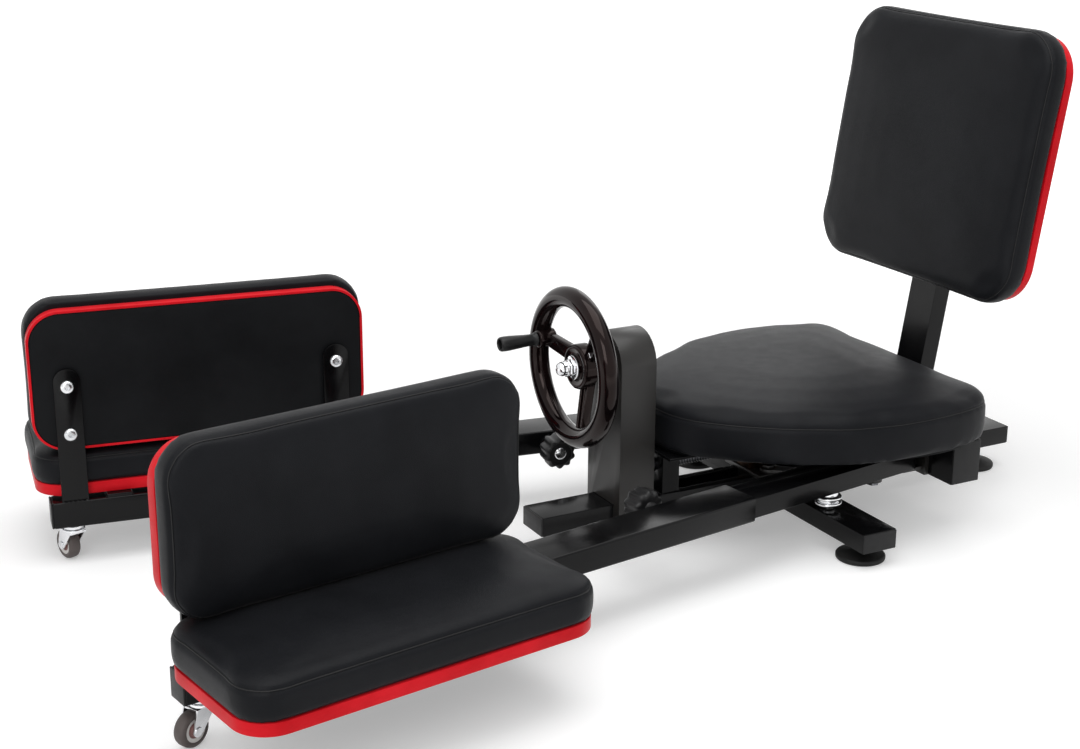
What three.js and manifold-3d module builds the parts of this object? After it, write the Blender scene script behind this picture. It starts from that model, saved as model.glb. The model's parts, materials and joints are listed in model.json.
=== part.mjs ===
import * as THREE from 'three';
import { mergeVertices } from 'three/addons/utils/BufferGeometryUtils.js';
import Module from 'manifold-3d';

const wasm = await Module();
wasm.setup();

// Leg stretching machine. Millimetres, +Z up, the legs point to -Y and the user's left is +X.
// While it is built, y = 0 is the front face of the cross bar. At the end it is centred on its box.

// Driving dimensions

const fit = { seat: 0.3, running: 0.3, slide: 0.6, overrun: 5 };

const beam = {
  width: 50, height: 25, wall: 2, top: 60, front: -336, rear: 407,
  slotWidth: 26, slotFront: -135, slotRear: 128,
};

const crossBar = { halfLength: 225, depth: 50, height: 25, wall: 2, bottom: 22 };

const foot = {
  padRadius: 31, soleRadius: 29, padEdge: 6, padHeight: 12, neckRadius: 9, neckHeight: 15,
  studRadius: 5, studGrip: 14, barInset: 35, frontInset: 74, rearInset: 40, bevel: 2,
};

const column = { width: 80, depth: 50, front: -237, wall: 3 };

const wheel = {
  axisHeight: 240, radius: 100, rimWide: 26, rimDeep: 25, planeFromColumn: 46,
  hubRadius: 28, hubThick: 22, hubBossRadius: 19, hubBack: 14, hubFront: 44, spokeWide: 21,
  spokeThick: 11, spokeWeb: 5, spokeRib: 4, dish: 9,
  handleRadius: 73, bossRadius: 11, bossLength: 24,
};

const shaft = { radius: 8, threadRadius: 6, threadLength: 17, tail: 6 };

const acorn = {
  washerRadius: 15, washerThick: 2.5, hexRadius: 11,
  hexLength: 9, domeRadius: 9, domeLength: 13,
};

const crank = {
  length: 52, rootRadius: 7.5, bellyRadius: 9.5, tipRadius: 8.5,
  pinRadius: 4, lip: 1.5, tipHollow: 4,
};

const chain = { pitch: 12.7, plateThick: 1.6, innerWidth: 6 };

const sprocket = { thick: 5, bossClear: 1, bossLength: 14, fromFront: 25 };

const bush = { radius: 11, flangeRadius: 15, flangeThick: 3 };

const screw = { radius: 8, height: 94, frontStop: 6 };

const screwBlock = { halfWidth: 16, halfHeight: 17, length: 25 };

const nut = { halfWidth: 14, halfLength: 20, height: 42 };

const crosshead = {
  halfWidth: 40, halfLength: 22, thick: 5.6, glide: 0.4, keyDepth: 10, keyPlay: 0.5,
  studRadius: 6, studOffset: 28, studCap: 9, capThick: 4,
};

const link = {
  length: 135, crankRadius: 45, eyeRadius: 12, waist: 9,
  thick: 5, boltRadius: 5, headRadius: 8.5, headThick: 4,
};

const pivot = {
  x: 113, y: 139, pinRadius: 8, headRadius: 13, headThick: 5,
  lugRadius: 16, lugUpper: 6, lugLower: 4.5, lugGap: 1.2, webThick: 6.5, webHalf: 135,
};

const rearTube = {
  halfLength: 179, front: 173, depth: 44, bottom: 66,
  wall: 3, holeRadius: 5, holeInset: 40,
};

const seatPost = {
  width: 50, depth: 25, front: -165, wall: 2,
  flangeHalfX: 60, flangeHalfY: 24, flangeThick: 4, boreRadius: 10,
};

const seat = {
  underside: 122, boardThick: 12, boardInset: 7, thick: 44, crown: 16,
  front: -172, rear: 233, halfWidth: 205,
};

const armTube = {
  width: 50, height: 25, wall: 2, centre: 90,
  front: 480, holeRadius: 4.8, holePitch: 40,
};

const armStop = {
  distance: 125, neckRadius: 12, ringRadius: 17, grooveRadius: 13,
  nutRadius: 9, ringThick: 5, neckLong: 6,
};

const sleeve = { wall: 2.5, rear: 278, plateAt: 612, plateThick: 5 };

const baseTube = { width: 30, height: 33.5, wall: 2, bottom: 50, centre: -11, front: 1016 };

const strap = { width: 30, thick: 4, reach: 150, near: 705, far: 935 };

const bracket = {
  width: 32, thick: 5, plane: -20, top: 252, near: 660,
  far: 988, boltRadius: 4, boltLow: 170, boltPitch: 60,
};

const legCushion = {
  behindGap: 4, length: 411, bracketGap: 4, width: 188, strapGap: 0.3,
  boardThick: 14, thick: 36, crown: 7, radius: 40,
};

const legPad = {
  behindGap: 6, length: 409, cushionGap: 9, height: 184,
  boardThick: 15, thick: 34, crown: 8, radius: 40,
};

const backPost = { width: 50, depth: 25, wall: 2, baseFront: 223, top: 520 };

const backRest = {
  width: 387, height: 342, bottom: 290, boardThick: 11,
  thick: 32, crown: 8, radius: 52,
};

const trim = { pull: 5, seamDeep: 2.2, seamWide: 5, sideBulge: 3, shoulder: 11 };

const knob = {
  distance: 378, bushRadius: 9, bushLength: 12, collarRadius: 8.5,
  collarLength: 8, radius: 20.5, flute: 1.6,
  length: 28, faceRadius: 15, faceDeep: 2, pinRadius: 4, tipGap: 0.4,
};

const caster = {
  distance: 992, wheelRadius: 19, wheelWidth: 15, trail: 16, axleRadius: 3, headRadius: 5, headThick: 2.5,
  capRadius: 12, capThick: 5, stemRadius: 5, stemLength: 9, crownRadius: 14, crownThick: 3,
  legThick: 2, legPlay: 1.2, legHalf: 6, rootHalf: 11,
  treadEdge: 3, rimRadius: 12.5, dishDeep: 2.5, hubRadius: 6,
};

// Angles in degrees, shares and counts
const armSplay = 8.6;
const backLean = 9;
const spokeAngles = [165, 285, 45];
const sprocketTeeth = 9;
const knobLobes = 10;
const casterTrail = { left: -73.6, right: -156.4 };
const forkNeck = 29;
const roundSides = 16;
const smallSides = 8;
const chainShares = { roller: 0.33, plate: 0.47, waist: 0.36, tooth: 0.28 };
const toothShares = [[-0.42, -0.75], [-0.25, -0.1], [-0.1, 1], [0.1, 1], [0.25, -0.1], [0.42, -0.75]];
const seatPlanShares = [
  [0, -0.5], [0.24, -0.485], [0.42, -0.4], [0.66, -0.2], [0.93, 0.03], [1, 0.2], [0.985, 0.34],
  [0.9, 0.455],
  [0.72, 0.497], [0.35, 0.5], [0, 0.5],
];
const seamHeightShare = 0.66;
const shoulderShares = [0.3, 0.3];
const pullShares = [1, 0.5, 0.7, 0.8, 0.8, 1, 1];
const domeShares = [0.85, 0.6, 0.3];
const gripShares = { waist: 0.33, belly: 0.75 };
const spokeTaperShare = 0.72;

// Places that follow from the driving dimensions

const rad = THREE.MathUtils.degToRad;
const beamBottom = beam.top - beam.height;
const crossBarTop = crossBar.bottom + crossBar.height;
const columnRear = column.front + column.depth;
const wheelPlane = column.front - wheel.planeFromColumn;
const hubFace = column.front - wheel.hubFront;
// The loop has a whole, even number of links, so the screw lies at the height nearest to the one wanted.
const linksWanted = 2 * (wheel.axisHeight - screw.height) / chain.pitch + sprocketTeeth;
const chainLinks = 2 * Math.round(linksWanted / 2);
const chainRun = (chainLinks - sprocketTeeth) * chain.pitch / 2;
const screwHeight = wheel.axisHeight - chainRun;
const pitchRadius = chain.pitch / (2 * Math.sin(Math.PI / sprocketTeeth));
const rollerRadius = chainShares.roller * chain.pitch;
const plateRadius = chainShares.plate * chain.pitch;
const waistRadius = chainShares.waist * chain.pitch;
const toothTip = chainShares.tooth * chain.pitch;
const sprocketBoss = pitchRadius - plateRadius - sprocket.bossClear;
const sprocketPlane = column.front + sprocket.fromFront;
const seatTopOfFrame = seat.underside;
const armBottom = armTube.centre - armTube.height / 2;
const armTop = armTube.centre + armTube.height / 2;
const sleeveHalfWidth = armTube.width / 2 + fit.slide + sleeve.wall;
const sleeveHalfHeight = armTube.height / 2 + fit.slide + sleeve.wall;
const baseTubeTop = baseTube.bottom + baseTube.height;
const strapTop = baseTubeTop + strap.thick;
const legRear = sleeve.plateAt + sleeve.plateThick + legCushion.behindGap;
const legFront = legRear + legCushion.length;
const legInner = bracket.plane + legCushion.bracketGap;
const legOuter = legInner + legCushion.width;
const legBottom = strapTop + legCushion.strapGap;
const padRear = sleeve.plateAt + sleeve.plateThick + legPad.behindGap;
const padFront = padRear + legPad.length;
const padBottom = legBottom + legCushion.boardThick + legCushion.thick + legPad.cushionGap;
const padTop = padBottom + legPad.height;
const crossheadBottom = beam.top + crosshead.glide;
const crossheadTop = crossheadBottom + crosshead.thick;
const linkBottom = crossheadTop + fit.running;
const linkTop = linkBottom + link.thick;

// The link's outer pin stands on the arm, crankRadius in front of the pivot.
const crankPin = {
  x: pivot.x + link.crankRadius * Math.sin(rad(armSplay)),
  y: pivot.y - link.crankRadius * Math.cos(rad(armSplay)),
};
const nutPlace = crankPin.y - Math.sqrt(link.length ** 2 - (crankPin.x - crosshead.studOffset) ** 2);

// Materials

const material = (color, roughness, metalness) => new THREE.MeshStandardMaterial(
  { color, roughness, metalness },
);
const gloss = material(0x0b0b0d, 0.25, 0.2);
const satin = material(0x121214, 0.45, 0.2);
const chrome = material(0xd8d9dc, 0.15, 1);
const steel = material(0x9b9da1, 0.35, 1);
const bronze = material(0xa6844a, 0.4, 1);
const leather = material(0x161617, 0.55, 0);
const redTrim = material(0xd3202b, 0.5, 0);
const rubber = material(0x19191a, 0.8, 0);
const bakelite = material(0x120c0b, 0.12, 0);
const plastic = material(0x151516, 0.6, 0);
const tread = material(0x4a4543, 0.6, 0);
const plywood = material(0x2a2521, 0.8, 0);

// Joining and cutting

function solid(geometry) {
  const plain = geometry.clone();
  plain.deleteAttribute('normal');
  plain.deleteAttribute('uv');
  const merged = mergeVertices(plain);
  return new wasm.Manifold(new wasm.Mesh({
    numProp: 3,
    vertProperties: new Float32Array(merged.attributes.position.array),
    triVerts: new Uint32Array(merged.index.array),
  }));
}

function geometryOf(body) {
  const mesh = body.getMesh();
  const geometry = new THREE.BufferGeometry();
  geometry.setAttribute('position', new THREE.BufferAttribute(new Float32Array(mesh.vertProperties), 3));
  geometry.setIndex(new THREE.BufferAttribute(new Uint32Array(mesh.triVerts), 1));
  return geometry;
}

function join(first, ...rest) {
  return geometryOf(rest.reduce((whole, next) => whole.add(solid(next)), solid(first)));
}

function cut(first, ...rest) {
  return geometryOf(rest.reduce((whole, next) => whole.subtract(solid(next)), solid(first)));
}

function keep(first, second) {
  return geometryOf(solid(first).intersect(solid(second)));
}

// Basic shapes, placed where they are used

function block(x0, x1, y0, y1, z0, z1) {
  const geometry = new THREE.BoxGeometry(x1 - x0, y1 - y0, z1 - z0);
  return geometry.translate((x0 + x1) / 2, (y0 + y1) / 2, (z0 + z1) / 2);
}

// A revolved solid on the Z axis from [radius, height] points, outline given from bottom to top
function turned(points, sides = roundSides) {
  const profile = points.map(([r, z]) => new THREE.Vector2(r, z));
  return new THREE.LatheGeometry(profile, sides).rotateX(Math.PI / 2);
}

function rodZ(radius, x, y, z0, z1, sides = roundSides) {
  const geometry = new THREE.CylinderGeometry(radius, radius, z1 - z0, sides).rotateX(Math.PI / 2);
  return geometry.translate(x, y, (z0 + z1) / 2);
}

function rodY(radius, x, z, y0, y1, sides = roundSides) {
  return new THREE.CylinderGeometry(radius, radius, y1 - y0, sides).translate(x, (y0 + y1) / 2, z);
}

function rodX(radius, y, z, x0, x1, sides = roundSides) {
  const geometry = new THREE.CylinderGeometry(radius, radius, x1 - x0, sides).rotateZ(Math.PI / 2);
  return geometry.translate((x0 + x1) / 2, y, z);
}

// A turned profile laid along -Y, so that its heights run towards the user's feet
const alongFront = (geometry) => geometry.rotateX(Math.PI / 2);

function slab(shape, thickness, curveSegments = smallSides) {
  return new THREE.ExtrudeGeometry(shape, { depth: thickness, bevelEnabled: false, curveSegments });
}

// A slab drawn in x and z, standing between two places on the Y axis
function upright(shape, y0, y1, curveSegments) {
  return slab(shape, y1 - y0, curveSegments).rotateX(Math.PI / 2).translate(0, y1, 0);
}

function polygon(points) {
  return new THREE.Shape(points.map(([x, y]) => new THREE.Vector2(x, y)));
}

// Two round eyes joined by a straight web
function linkShape(length, radius, waist) {
  const bend = Math.asin(waist / radius);
  const shape = new THREE.Shape();
  shape.absarc(0, 0, radius, bend, 2 * Math.PI - bend, false);
  shape.absarc(length, 0, radius, Math.PI + bend, 3 * Math.PI - bend, false);
  shape.closePath();
  return shape;
}

function archShape(halfWidth, bottom, centre) {
  const shape = new THREE.Shape();
  shape.moveTo(-halfWidth, bottom);
  shape.lineTo(halfWidth, bottom);
  shape.absarc(0, centre, halfWidth, 0, Math.PI, false);
  shape.closePath();
  return shape;
}

// Upholstery: rings of one outline, from the board up the side, in at the sewn channel and over the crown

function roundedOutline(halfX, halfY, radius, perCorner = 6, perSide = 4) {
  const points = [];
  const corners = [[1, 1, 0], [-1, 1, 90], [-1, -1, 180], [1, -1, 270]];
  corners.forEach(([signX, signY, start], index) => {
    for (let step = 0; step <= perCorner; step += 1) {
      const angle = rad(start + 90 * step / perCorner);
      const x = signX * (halfX - radius) + radius * Math.cos(angle);
      const y = signY * (halfY - radius) + radius * Math.sin(angle);
      points.push({ x, y, nx: Math.cos(angle), ny: Math.sin(angle), pull: 0 });
    }
    const from = points[points.length - 1];
    const alongX = index % 2 === 0;
    const run = alongX ? 2 * (halfX - radius) : 2 * (halfY - radius);
    const way = index < 2 ? -1 : 1;
    for (let step = 1; step < perSide; step += 1) {
      const share = step / perSide;
      const shift = way * run * share;
      points.push({
        x: from.x + (alongX ? shift : 0),
        y: from.y + (alongX ? 0 : shift),
        nx: from.nx,
        ny: from.ny,
        pull: Math.sin(Math.PI * share),
      });
    }
  });
  return points;
}

function seatOutline() {
  const length = seat.rear - seat.front;
  const middle = (seat.rear + seat.front) / 2;
  const plan = seatPlanShares.map(
    ([across, along]) => new THREE.Vector3(across * seat.halfWidth, along * length, 0),
  );
  const curve = new THREE.CatmullRomCurve3(plan, false, 'centripetal');
  const half = curve.getSpacedPoints(22).slice(1, -1);
  const mirrored = half.map((p) => new THREE.Vector3(-p.x, p.y, 0)).reverse();
  const whole = [curve.getPoint(0), ...half, curve.getPoint(1), ...mirrored];
  return whole.map((point, index) => {
    const before = whole[(index + whole.length - 1) % whole.length];
    const after = whole[(index + 1) % whole.length];
    const along = new THREE.Vector2(after.x - before.x, after.y - before.y).normalize();
    return { x: point.x, y: point.y + middle, nx: along.y, ny: -along.x, pull: 0 };
  });
}

function ringsSolid(rings, low, high) {
  const count = rings[0].length;
  const positions = rings.flat().flatMap((p) => [p.x, p.y, p.z]);
  const indices = [];
  for (let ring = 0; ring + 1 < rings.length; ring += 1) {
    for (let step = 0; step < count; step += 1) {
      const a = ring * count + step;
      const b = ring * count + (step + 1) % count;
      indices.push(a, b, b + count, a, b + count, a + count);
    }
  }
  const lowIndex = positions.length / 3;
  positions.push(low.x, low.y, low.z, high.x, high.y, high.z);
  const last = (rings.length - 1) * count;
  for (let step = 0; step < count; step += 1) {
    const next = (step + 1) % count;
    indices.push(lowIndex, next, step, lowIndex + 1, last + step, last + next);
  }
  const geometry = new THREE.BufferGeometry();
  geometry.setAttribute('position', new THREE.Float32BufferAttribute(positions, 3));
  geometry.setIndex(indices);
  return geometry;
}

function cushion(outline, thick, crown) {
  const centre = outline.reduce(
    (sum, p) => ({ x: sum.x + p.x / outline.length, y: sum.y + p.y / outline.length }),
    { x: 0, y: 0 },
  );
  const seam = thick * seamHeightShare;
  const [shoulderIn, shoulderDown] = shoulderShares;
  const side = [
    [0, 0], [-trim.sideBulge, seam / 2], [0, seam - trim.seamWide / 2], [trim.seamDeep, seam],
    [0, seam + trim.seamWide / 2], [trim.shoulder * shoulderIn, thick - trim.shoulder * shoulderDown],
    [trim.shoulder, thick],
  ];
  const rings = side.map(([inset, height], index) => outline.map((p) => {
    const inward = inset + trim.pull * p.pull * pullShares[index];
    return { x: p.x - p.nx * inward, y: p.y - p.ny * inward, z: height };
  }));
  const edge = rings[rings.length - 1];
  domeShares.forEach((share) => {
    rings.push(edge.map((p) => ({
      x: centre.x + (p.x - centre.x) * share,
      y: centre.y + (p.y - centre.y) * share,
      z: p.z + crown * (1 - share ** 2),
    })));
  });
  return ringsSolid(rings, { ...centre, z: 0 }, { ...centre, z: thick + crown });
}

function boardFrom(outline, thick) {
  return slab(polygon(outline.map((p) => [p.x, p.y])), thick);
}

function insetOutline(outline, inset) {
  return outline.map((p) => ({ ...p, x: p.x - p.nx * inset, y: p.y - p.ny * inset }));
}

// The tree of pieces

const machine = new THREE.Group();

function piece(parent, name, geometry, finish) {
  geometry.computeVertexNormals();
  const mesh = new THREE.Mesh(geometry, finish);
  mesh.name = name;
  parent.add(mesh);
  return mesh;
}

// Base: one long beam, a cross bar notched round it, and four levelling feet

function mainBeam() {
  const half = beam.width / 2;
  const body = block(-half, half, beam.front, beam.rear, beamBottom, beam.top);
  const bore = block(
    -half + beam.wall, half - beam.wall,
    beam.front + beam.wall, beam.rear - beam.wall,
    beamBottom + beam.wall, beam.top - beam.wall,
  );
  const slot = block(
    -beam.slotWidth / 2, beam.slotWidth / 2, beam.slotFront, beam.slotRear,
    beam.top - 2 * beam.wall, beam.top + fit.overrun,
  );
  const studs = [beam.front + foot.frontInset, beam.rear - foot.rearInset].map((y) => (
    rodZ(foot.studRadius + fit.seat, 0, y, beamBottom - fit.overrun, beamBottom + 2 * beam.wall)
  ));
  return cut(body, bore, slot, ...studs);
}

function crossBarTube() {
  const half = crossBar.halfLength;
  const body = block(-half, half, 0, crossBar.depth, crossBar.bottom, crossBarTop);
  const bore = block(
    -half + crossBar.wall, half - crossBar.wall,
    crossBar.wall, crossBar.depth - crossBar.wall,
    crossBar.bottom + crossBar.wall, crossBarTop - crossBar.wall,
  );
  const notchHalf = beam.width / 2 + fit.seat;
  const notch = block(
    -notchHalf, notchHalf, -fit.overrun, crossBar.depth + fit.overrun, beamBottom - fit.seat,
    beam.top,
  );
  const studs = [-1, 1].map((side) => rodZ(
    foot.studRadius + fit.seat, side * (half - foot.barInset), crossBar.depth / 2,
    crossBar.bottom - fit.overrun, crossBar.bottom + 2 * crossBar.wall,
  ));
  return cut(body, bore, notch, ...studs);
}

function levellingFoot(x, y, barBottom) {
  const profile = [
    [0, 0], [foot.soleRadius, 0], [foot.padRadius, foot.bevel], [foot.padRadius, foot.padEdge],
    [foot.padRadius - 2 * foot.bevel, foot.padEdge + foot.bevel],
    [foot.neckRadius + foot.bevel, foot.padHeight], [foot.neckRadius, foot.neckHeight],
    [foot.neckRadius, barBottom - fit.seat], [foot.studRadius, barBottom - fit.seat],
    [foot.studRadius, barBottom + foot.studGrip], [0, barBottom + foot.studGrip],
  ];
  return turned(profile).translate(x, y, 0);
}

piece(machine, 'main_beam', mainBeam(), gloss);
piece(machine, 'cross_bar', crossBarTube(), gloss);
piece(machine, 'foot_front', levellingFoot(0, beam.front + foot.frontInset, beamBottom), rubber);
piece(machine, 'foot_rear', levellingFoot(0, beam.rear - foot.rearInset, beamBottom), rubber);
const footReach = crossBar.halfLength - foot.barInset;
piece(machine, 'foot_left', levellingFoot(footReach, crossBar.depth / 2, crossBar.bottom), rubber);
piece(machine, 'foot_right', levellingFoot(-footReach, crossBar.depth / 2, crossBar.bottom), rubber);

// Column: a folded sheet housing with an arched top, open below, that straddles the beam

function columnHousing() {
  const half = column.width / 2;
  const body = upright(archShape(half, beamBottom, wheel.axisHeight), column.front, columnRear);
  const hollow = upright(
    archShape(half - column.wall, beamBottom - fit.overrun, wheel.axisHeight),
    column.front + column.wall, columnRear - column.wall,
  );
  const straddle = block(
    -beam.width / 2 - fit.seat, beam.width / 2 + fit.seat, column.front - fit.overrun,
    columnRear + fit.overrun,
    beamBottom - fit.overrun, beam.top + fit.seat,
  );
  const shaftBore = rodY(
    bush.radius + fit.seat, 0, wheel.axisHeight, column.front - fit.overrun,
    columnRear + fit.overrun,
  );
  const screwBore = rodY(
    bush.radius + fit.seat, 0, screwHeight, columnRear - 2 * column.wall,
    columnRear + fit.overrun,
  );
  return cut(body, hollow, straddle, shaftBore, screwBore);
}

// A flanged bush pressed in a wall, its flange outside; way is -1 at a front wall and 1 at a rear wall
function flangedBush(face, height, way, bore) {
  const inner = face - way * (column.wall + fit.overrun);
  const outer = face + way * bush.flangeThick;
  const sleeveBody = rodY(bush.radius, 0, height, Math.min(inner, face), Math.max(inner, face) + fit.seat);
  const flangeBack = face + way * fit.seat;
  const flange = rodY(
    bush.flangeRadius, 0, height, Math.min(flangeBack, outer), Math.max(flangeBack, outer),
  );
  const barrel = way < 0 ? rodY(bush.radius, 0, height, outer, inner) : sleeveBody;
  const hole = rodY(
    bore, 0, height, Math.min(inner, outer) - fit.overrun, Math.max(inner, outer) + fit.overrun,
  );
  return cut(join(barrel, flange), hole);
}

piece(machine, 'column_housing', columnHousing(), satin);
piece(
  machine, 'shaft_bush_front',
  flangedBush(column.front, wheel.axisHeight, -1, shaft.radius + fit.running), steel,
);
piece(
  machine, 'shaft_bush_rear',
  flangedBush(columnRear, wheel.axisHeight, 1, shaft.radius + fit.running), steel,
);
piece(
  machine, 'screw_bush_front',
  flangedBush(columnRear, screwHeight, 1, screw.radius + fit.running), steel,
);

// Chain drive from the wheel's shaft down to the lead screw

function sprocketWheel(height, bore) {
  const points = [];
  for (let tooth = 0; tooth < sprocketTeeth; tooth += 1) {
    const centre = 2 * Math.PI * tooth / sprocketTeeth;
    toothShares.forEach(([across, up]) => {
      const angle = centre + across * 2 * Math.PI / sprocketTeeth;
      const radius = pitchRadius + up * (up > 0 ? toothTip : rollerRadius);
      points.push([radius * Math.cos(angle), radius * Math.sin(angle)]);
    });
  }
  const disc = upright(polygon(points), -sprocket.thick / 2, sprocket.thick / 2);
  const boss = rodY(sprocketBoss, 0, 0, -sprocket.thick / 2, sprocket.bossLength - sprocket.thick / 2);
  const hole = rodY(bore, 0, 0, -sprocket.bossLength, 2 * sprocket.bossLength);
  return cut(join(disc, boss), hole).translate(0, sprocketPlane, height);
}

// The loop's line: a half circle over each sprocket, joined by two straight runs
function chainPoint(share) {
  const arc = sprocketTeeth * chain.pitch / 2;
  const loop = chainLinks * chain.pitch;
  let way = ((share % 1) + 1) % 1 * loop;
  if (way < chainRun) {
    return { x: pitchRadius, z: screwHeight + way, nx: 1, nz: 0 };
  }
  way -= chainRun;
  if (way < arc) {
    const angle = Math.PI * way / arc;
    return onArc(angle, wheel.axisHeight);
  }
  way -= arc;
  if (way < chainRun) {
    return { x: -pitchRadius, z: wheel.axisHeight - way, nx: -1, nz: 0 };
  }
  way -= chainRun;
  return onArc(Math.PI + Math.PI * way / arc, screwHeight);
}

function onArc(angle, height) {
  const nx = Math.cos(angle);
  const nz = Math.sin(angle);
  return { x: pitchRadius * nx, z: height + pitchRadius * nz, nx, nz };
}

// Link plates on both sides of the sprockets, joined by the rollers of the two straight runs
function driveChain() {
  const steps = chainLinks * 2;
  const edge = (way) => Array.from({ length: steps }, (_, step) => {
    const point = chainPoint((step + 0.5) / steps);
    const reach = way * (step % 2 === 0 ? plateRadius : waistRadius);
    return [point.x + reach * point.nx, point.z + reach * point.nz];
  });
  const shape = polygon(edge(1));
  shape.holes.push(polygon(edge(-1)));
  const nearPlate = sprocketPlane - chain.innerWidth / 2 - chain.plateThick;
  const farPlate = sprocketPlane + chain.innerWidth / 2;
  const plates = [nearPlate, farPlate].map((y) => upright(shape, y, y + chain.plateThick));
  const rollers = [];
  for (let step = 0; step < steps; step += 2) {
    const point = chainPoint((step + 0.5) / steps);
    const tip = pitchRadius + toothTip;
    const clearOfTeeth = point.z > screwHeight + tip && point.z < wheel.axisHeight - tip;
    if (point.nz === 0 && clearOfTeeth) {
      const inPlate = chain.plateThick / 2;
      rollers.push(
        rodY(rollerRadius, point.x, point.z, nearPlate + inPlate, farPlate + inPlate, smallSides),
      );
    }
  }
  return join(...plates, ...rollers);
}

piece(machine, 'upper_sprocket', sprocketWheel(wheel.axisHeight, shaft.radius + fit.seat), steel);
piece(machine, 'lower_sprocket', sprocketWheel(screwHeight, screw.radius + fit.seat), steel);
piece(machine, 'drive_chain', driveChain(), steel);

// Handwheel: round rim, three dished spokes, a hub on the shaft and a boss for the crank handle.
// Two spokes are channels with a rib along each edge. The one that carries the crank handle is plain.

function spoke(angle, ribbed) {
  const start = new THREE.Vector3(wheel.hubRadius / 2, hubFace + wheel.dish + wheel.spokeThick, 0);
  const end = new THREE.Vector3(wheel.radius - wheel.rimWide / 2, wheelPlane, 0);
  const half = wheel.spokeWide / 2;
  const inner = half - wheel.spokeRib;
  const front = -wheel.spokeThick / 2;
  const rear = wheel.spokeThick / 2;
  const web = ribbed ? rear - wheel.spokeWeb : front;
  const channel = [
    [-half, rear], [-half, front], [-inner, front], [-inner, web], [inner, web], [inner, front],
    [half, front], [half, rear],
  ];
  const plain = [[-half, rear], [-half, front], [half, front], [half, rear]];
  const length = end.distanceTo(start);
  const bar = slab(polygon(ribbed ? channel : plain), length);
  const position = bar.attributes.position;
  for (let index = 0; index < position.count; index += 1) {
    const share = position.getZ(index) / length;
    position.setX(index, position.getX(index) * (1 - (1 - spokeTaperShare) * share));
  }
  const lean = Math.atan2(end.y - start.y, end.x - start.x);
  bar.rotateY(Math.PI / 2).rotateZ(lean).translate(start.x, start.y, 0);
  return bar.rotateY(-rad(angle));
}

function handle(angle) {
  return { x: wheel.handleRadius * Math.cos(rad(angle)), z: wheel.handleRadius * Math.sin(rad(angle)) };
}

const handlePlace = handle(spokeAngles[0]);
const bossFace = wheelPlane - wheel.bossLength / 2;

function handWheel() {
  const section = [];
  for (let step = 0; step <= 10; step += 1) {
    const angle = 2 * Math.PI * step / 10;
    section.push([
      wheel.radius - wheel.rimWide / 2 + wheel.rimWide / 2 * Math.cos(angle),
      wheel.rimDeep / 2 * Math.sin(angle),
    ]);
  }
  const rim = alongFront(turned(section, 36)).translate(0, wheelPlane, 0);
  const hubBack = column.front - wheel.hubBack;
  const hub = join(
    rodY(wheel.hubRadius, 0, 0, hubFace, hubFace + wheel.hubThick, 24),
    rodY(wheel.hubBossRadius, 0, 0, hubFace + wheel.hubThick - fit.overrun, hubBack, 24),
  );
  const boss = rodY(
    wheel.bossRadius, handlePlace.x, handlePlace.z, bossFace, bossFace + wheel.bossLength,
    smallSides,
  );
  const bore = rodY(shaft.radius + fit.seat, 0, 0, hubFace - fit.overrun, hubBack + fit.overrun);
  const pinBore = rodY(
    crank.pinRadius + fit.seat, handlePlace.x, handlePlace.z,
    bossFace - fit.overrun, bossFace + wheel.bossLength + fit.overrun,
  );
  const spokes = spokeAngles.map((angle, index) => spoke(angle, index > 0));
  return cut(join(rim, hub, boss, ...spokes), bore, pinBore).translate(0, 0, wheel.axisHeight);
}

function wheelShaft() {
  const threadEnd = hubFace - shaft.threadLength;
  const thread = rodY(shaft.threadRadius, 0, wheel.axisHeight, threadEnd, hubFace, smallSides);
  const body = rodY(
    shaft.radius, 0, wheel.axisHeight, hubFace - fit.seat,
    columnRear + bush.flangeThick + shaft.tail,
  );
  return join(body, thread);
}

function wheelNut() {
  const start = hubFace - 2 * fit.seat;
  const washer = rodY(acorn.washerRadius, 0, 0, start - acorn.washerThick, start);
  const hex = rodY(acorn.hexRadius, 0, 0, start - acorn.washerThick - acorn.hexLength, start, 6);
  const root = start - acorn.washerThick - acorn.hexLength / 2;
  const domeProfile = [[0, 0], [acorn.domeRadius, 0], [acorn.domeRadius, acorn.hexLength / 2]];
  for (let step = 1; step <= 4; step += 1) {
    const angle = Math.PI / 2 * step / 4;
    domeProfile.push([
      acorn.domeRadius * Math.cos(angle),
      acorn.hexLength / 2 + acorn.domeLength * Math.sin(angle),
    ]);
  }
  domeProfile[domeProfile.length - 1][0] = 0;
  const dome = alongFront(turned(domeProfile)).translate(0, root, 0);
  const bore = rodY(
    shaft.threadRadius + fit.running, 0, 0, hubFace - shaft.threadLength - fit.seat,
    start + fit.overrun, smallSides,
  );
  return cut(join(washer, hex, dome), bore).translate(0, 0, wheel.axisHeight);
}

const handleRoot = bossFace - fit.running;
const handleTip = handleRoot - crank.length;

function crankPinBody() {
  const pinEnd = handleTip + crank.tipHollow + crank.lip;
  const pin = rodY(
    crank.pinRadius, handlePlace.x, handlePlace.z, pinEnd, bossFace + wheel.bossLength,
    smallSides,
  );
  return pin.translate(0, 0, wheel.axisHeight);
}

function crankHandle() {
  const bore = crank.pinRadius + fit.running;
  const profile = [
    [bore, 0], [crank.rootRadius, 0], [crank.rootRadius + crank.lip, crank.lip],
    [crank.rootRadius, crank.length * gripShares.waist],
    [crank.bellyRadius, crank.length * gripShares.belly],
    [crank.tipRadius, crank.length - crank.lip], [crank.tipRadius - crank.lip, crank.length],
    [bore, crank.length], [bore, 0],
  ];
  const grip = alongFront(turned(profile));
  return grip.translate(handlePlace.x, handleRoot, handlePlace.z + wheel.axisHeight);
}

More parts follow.
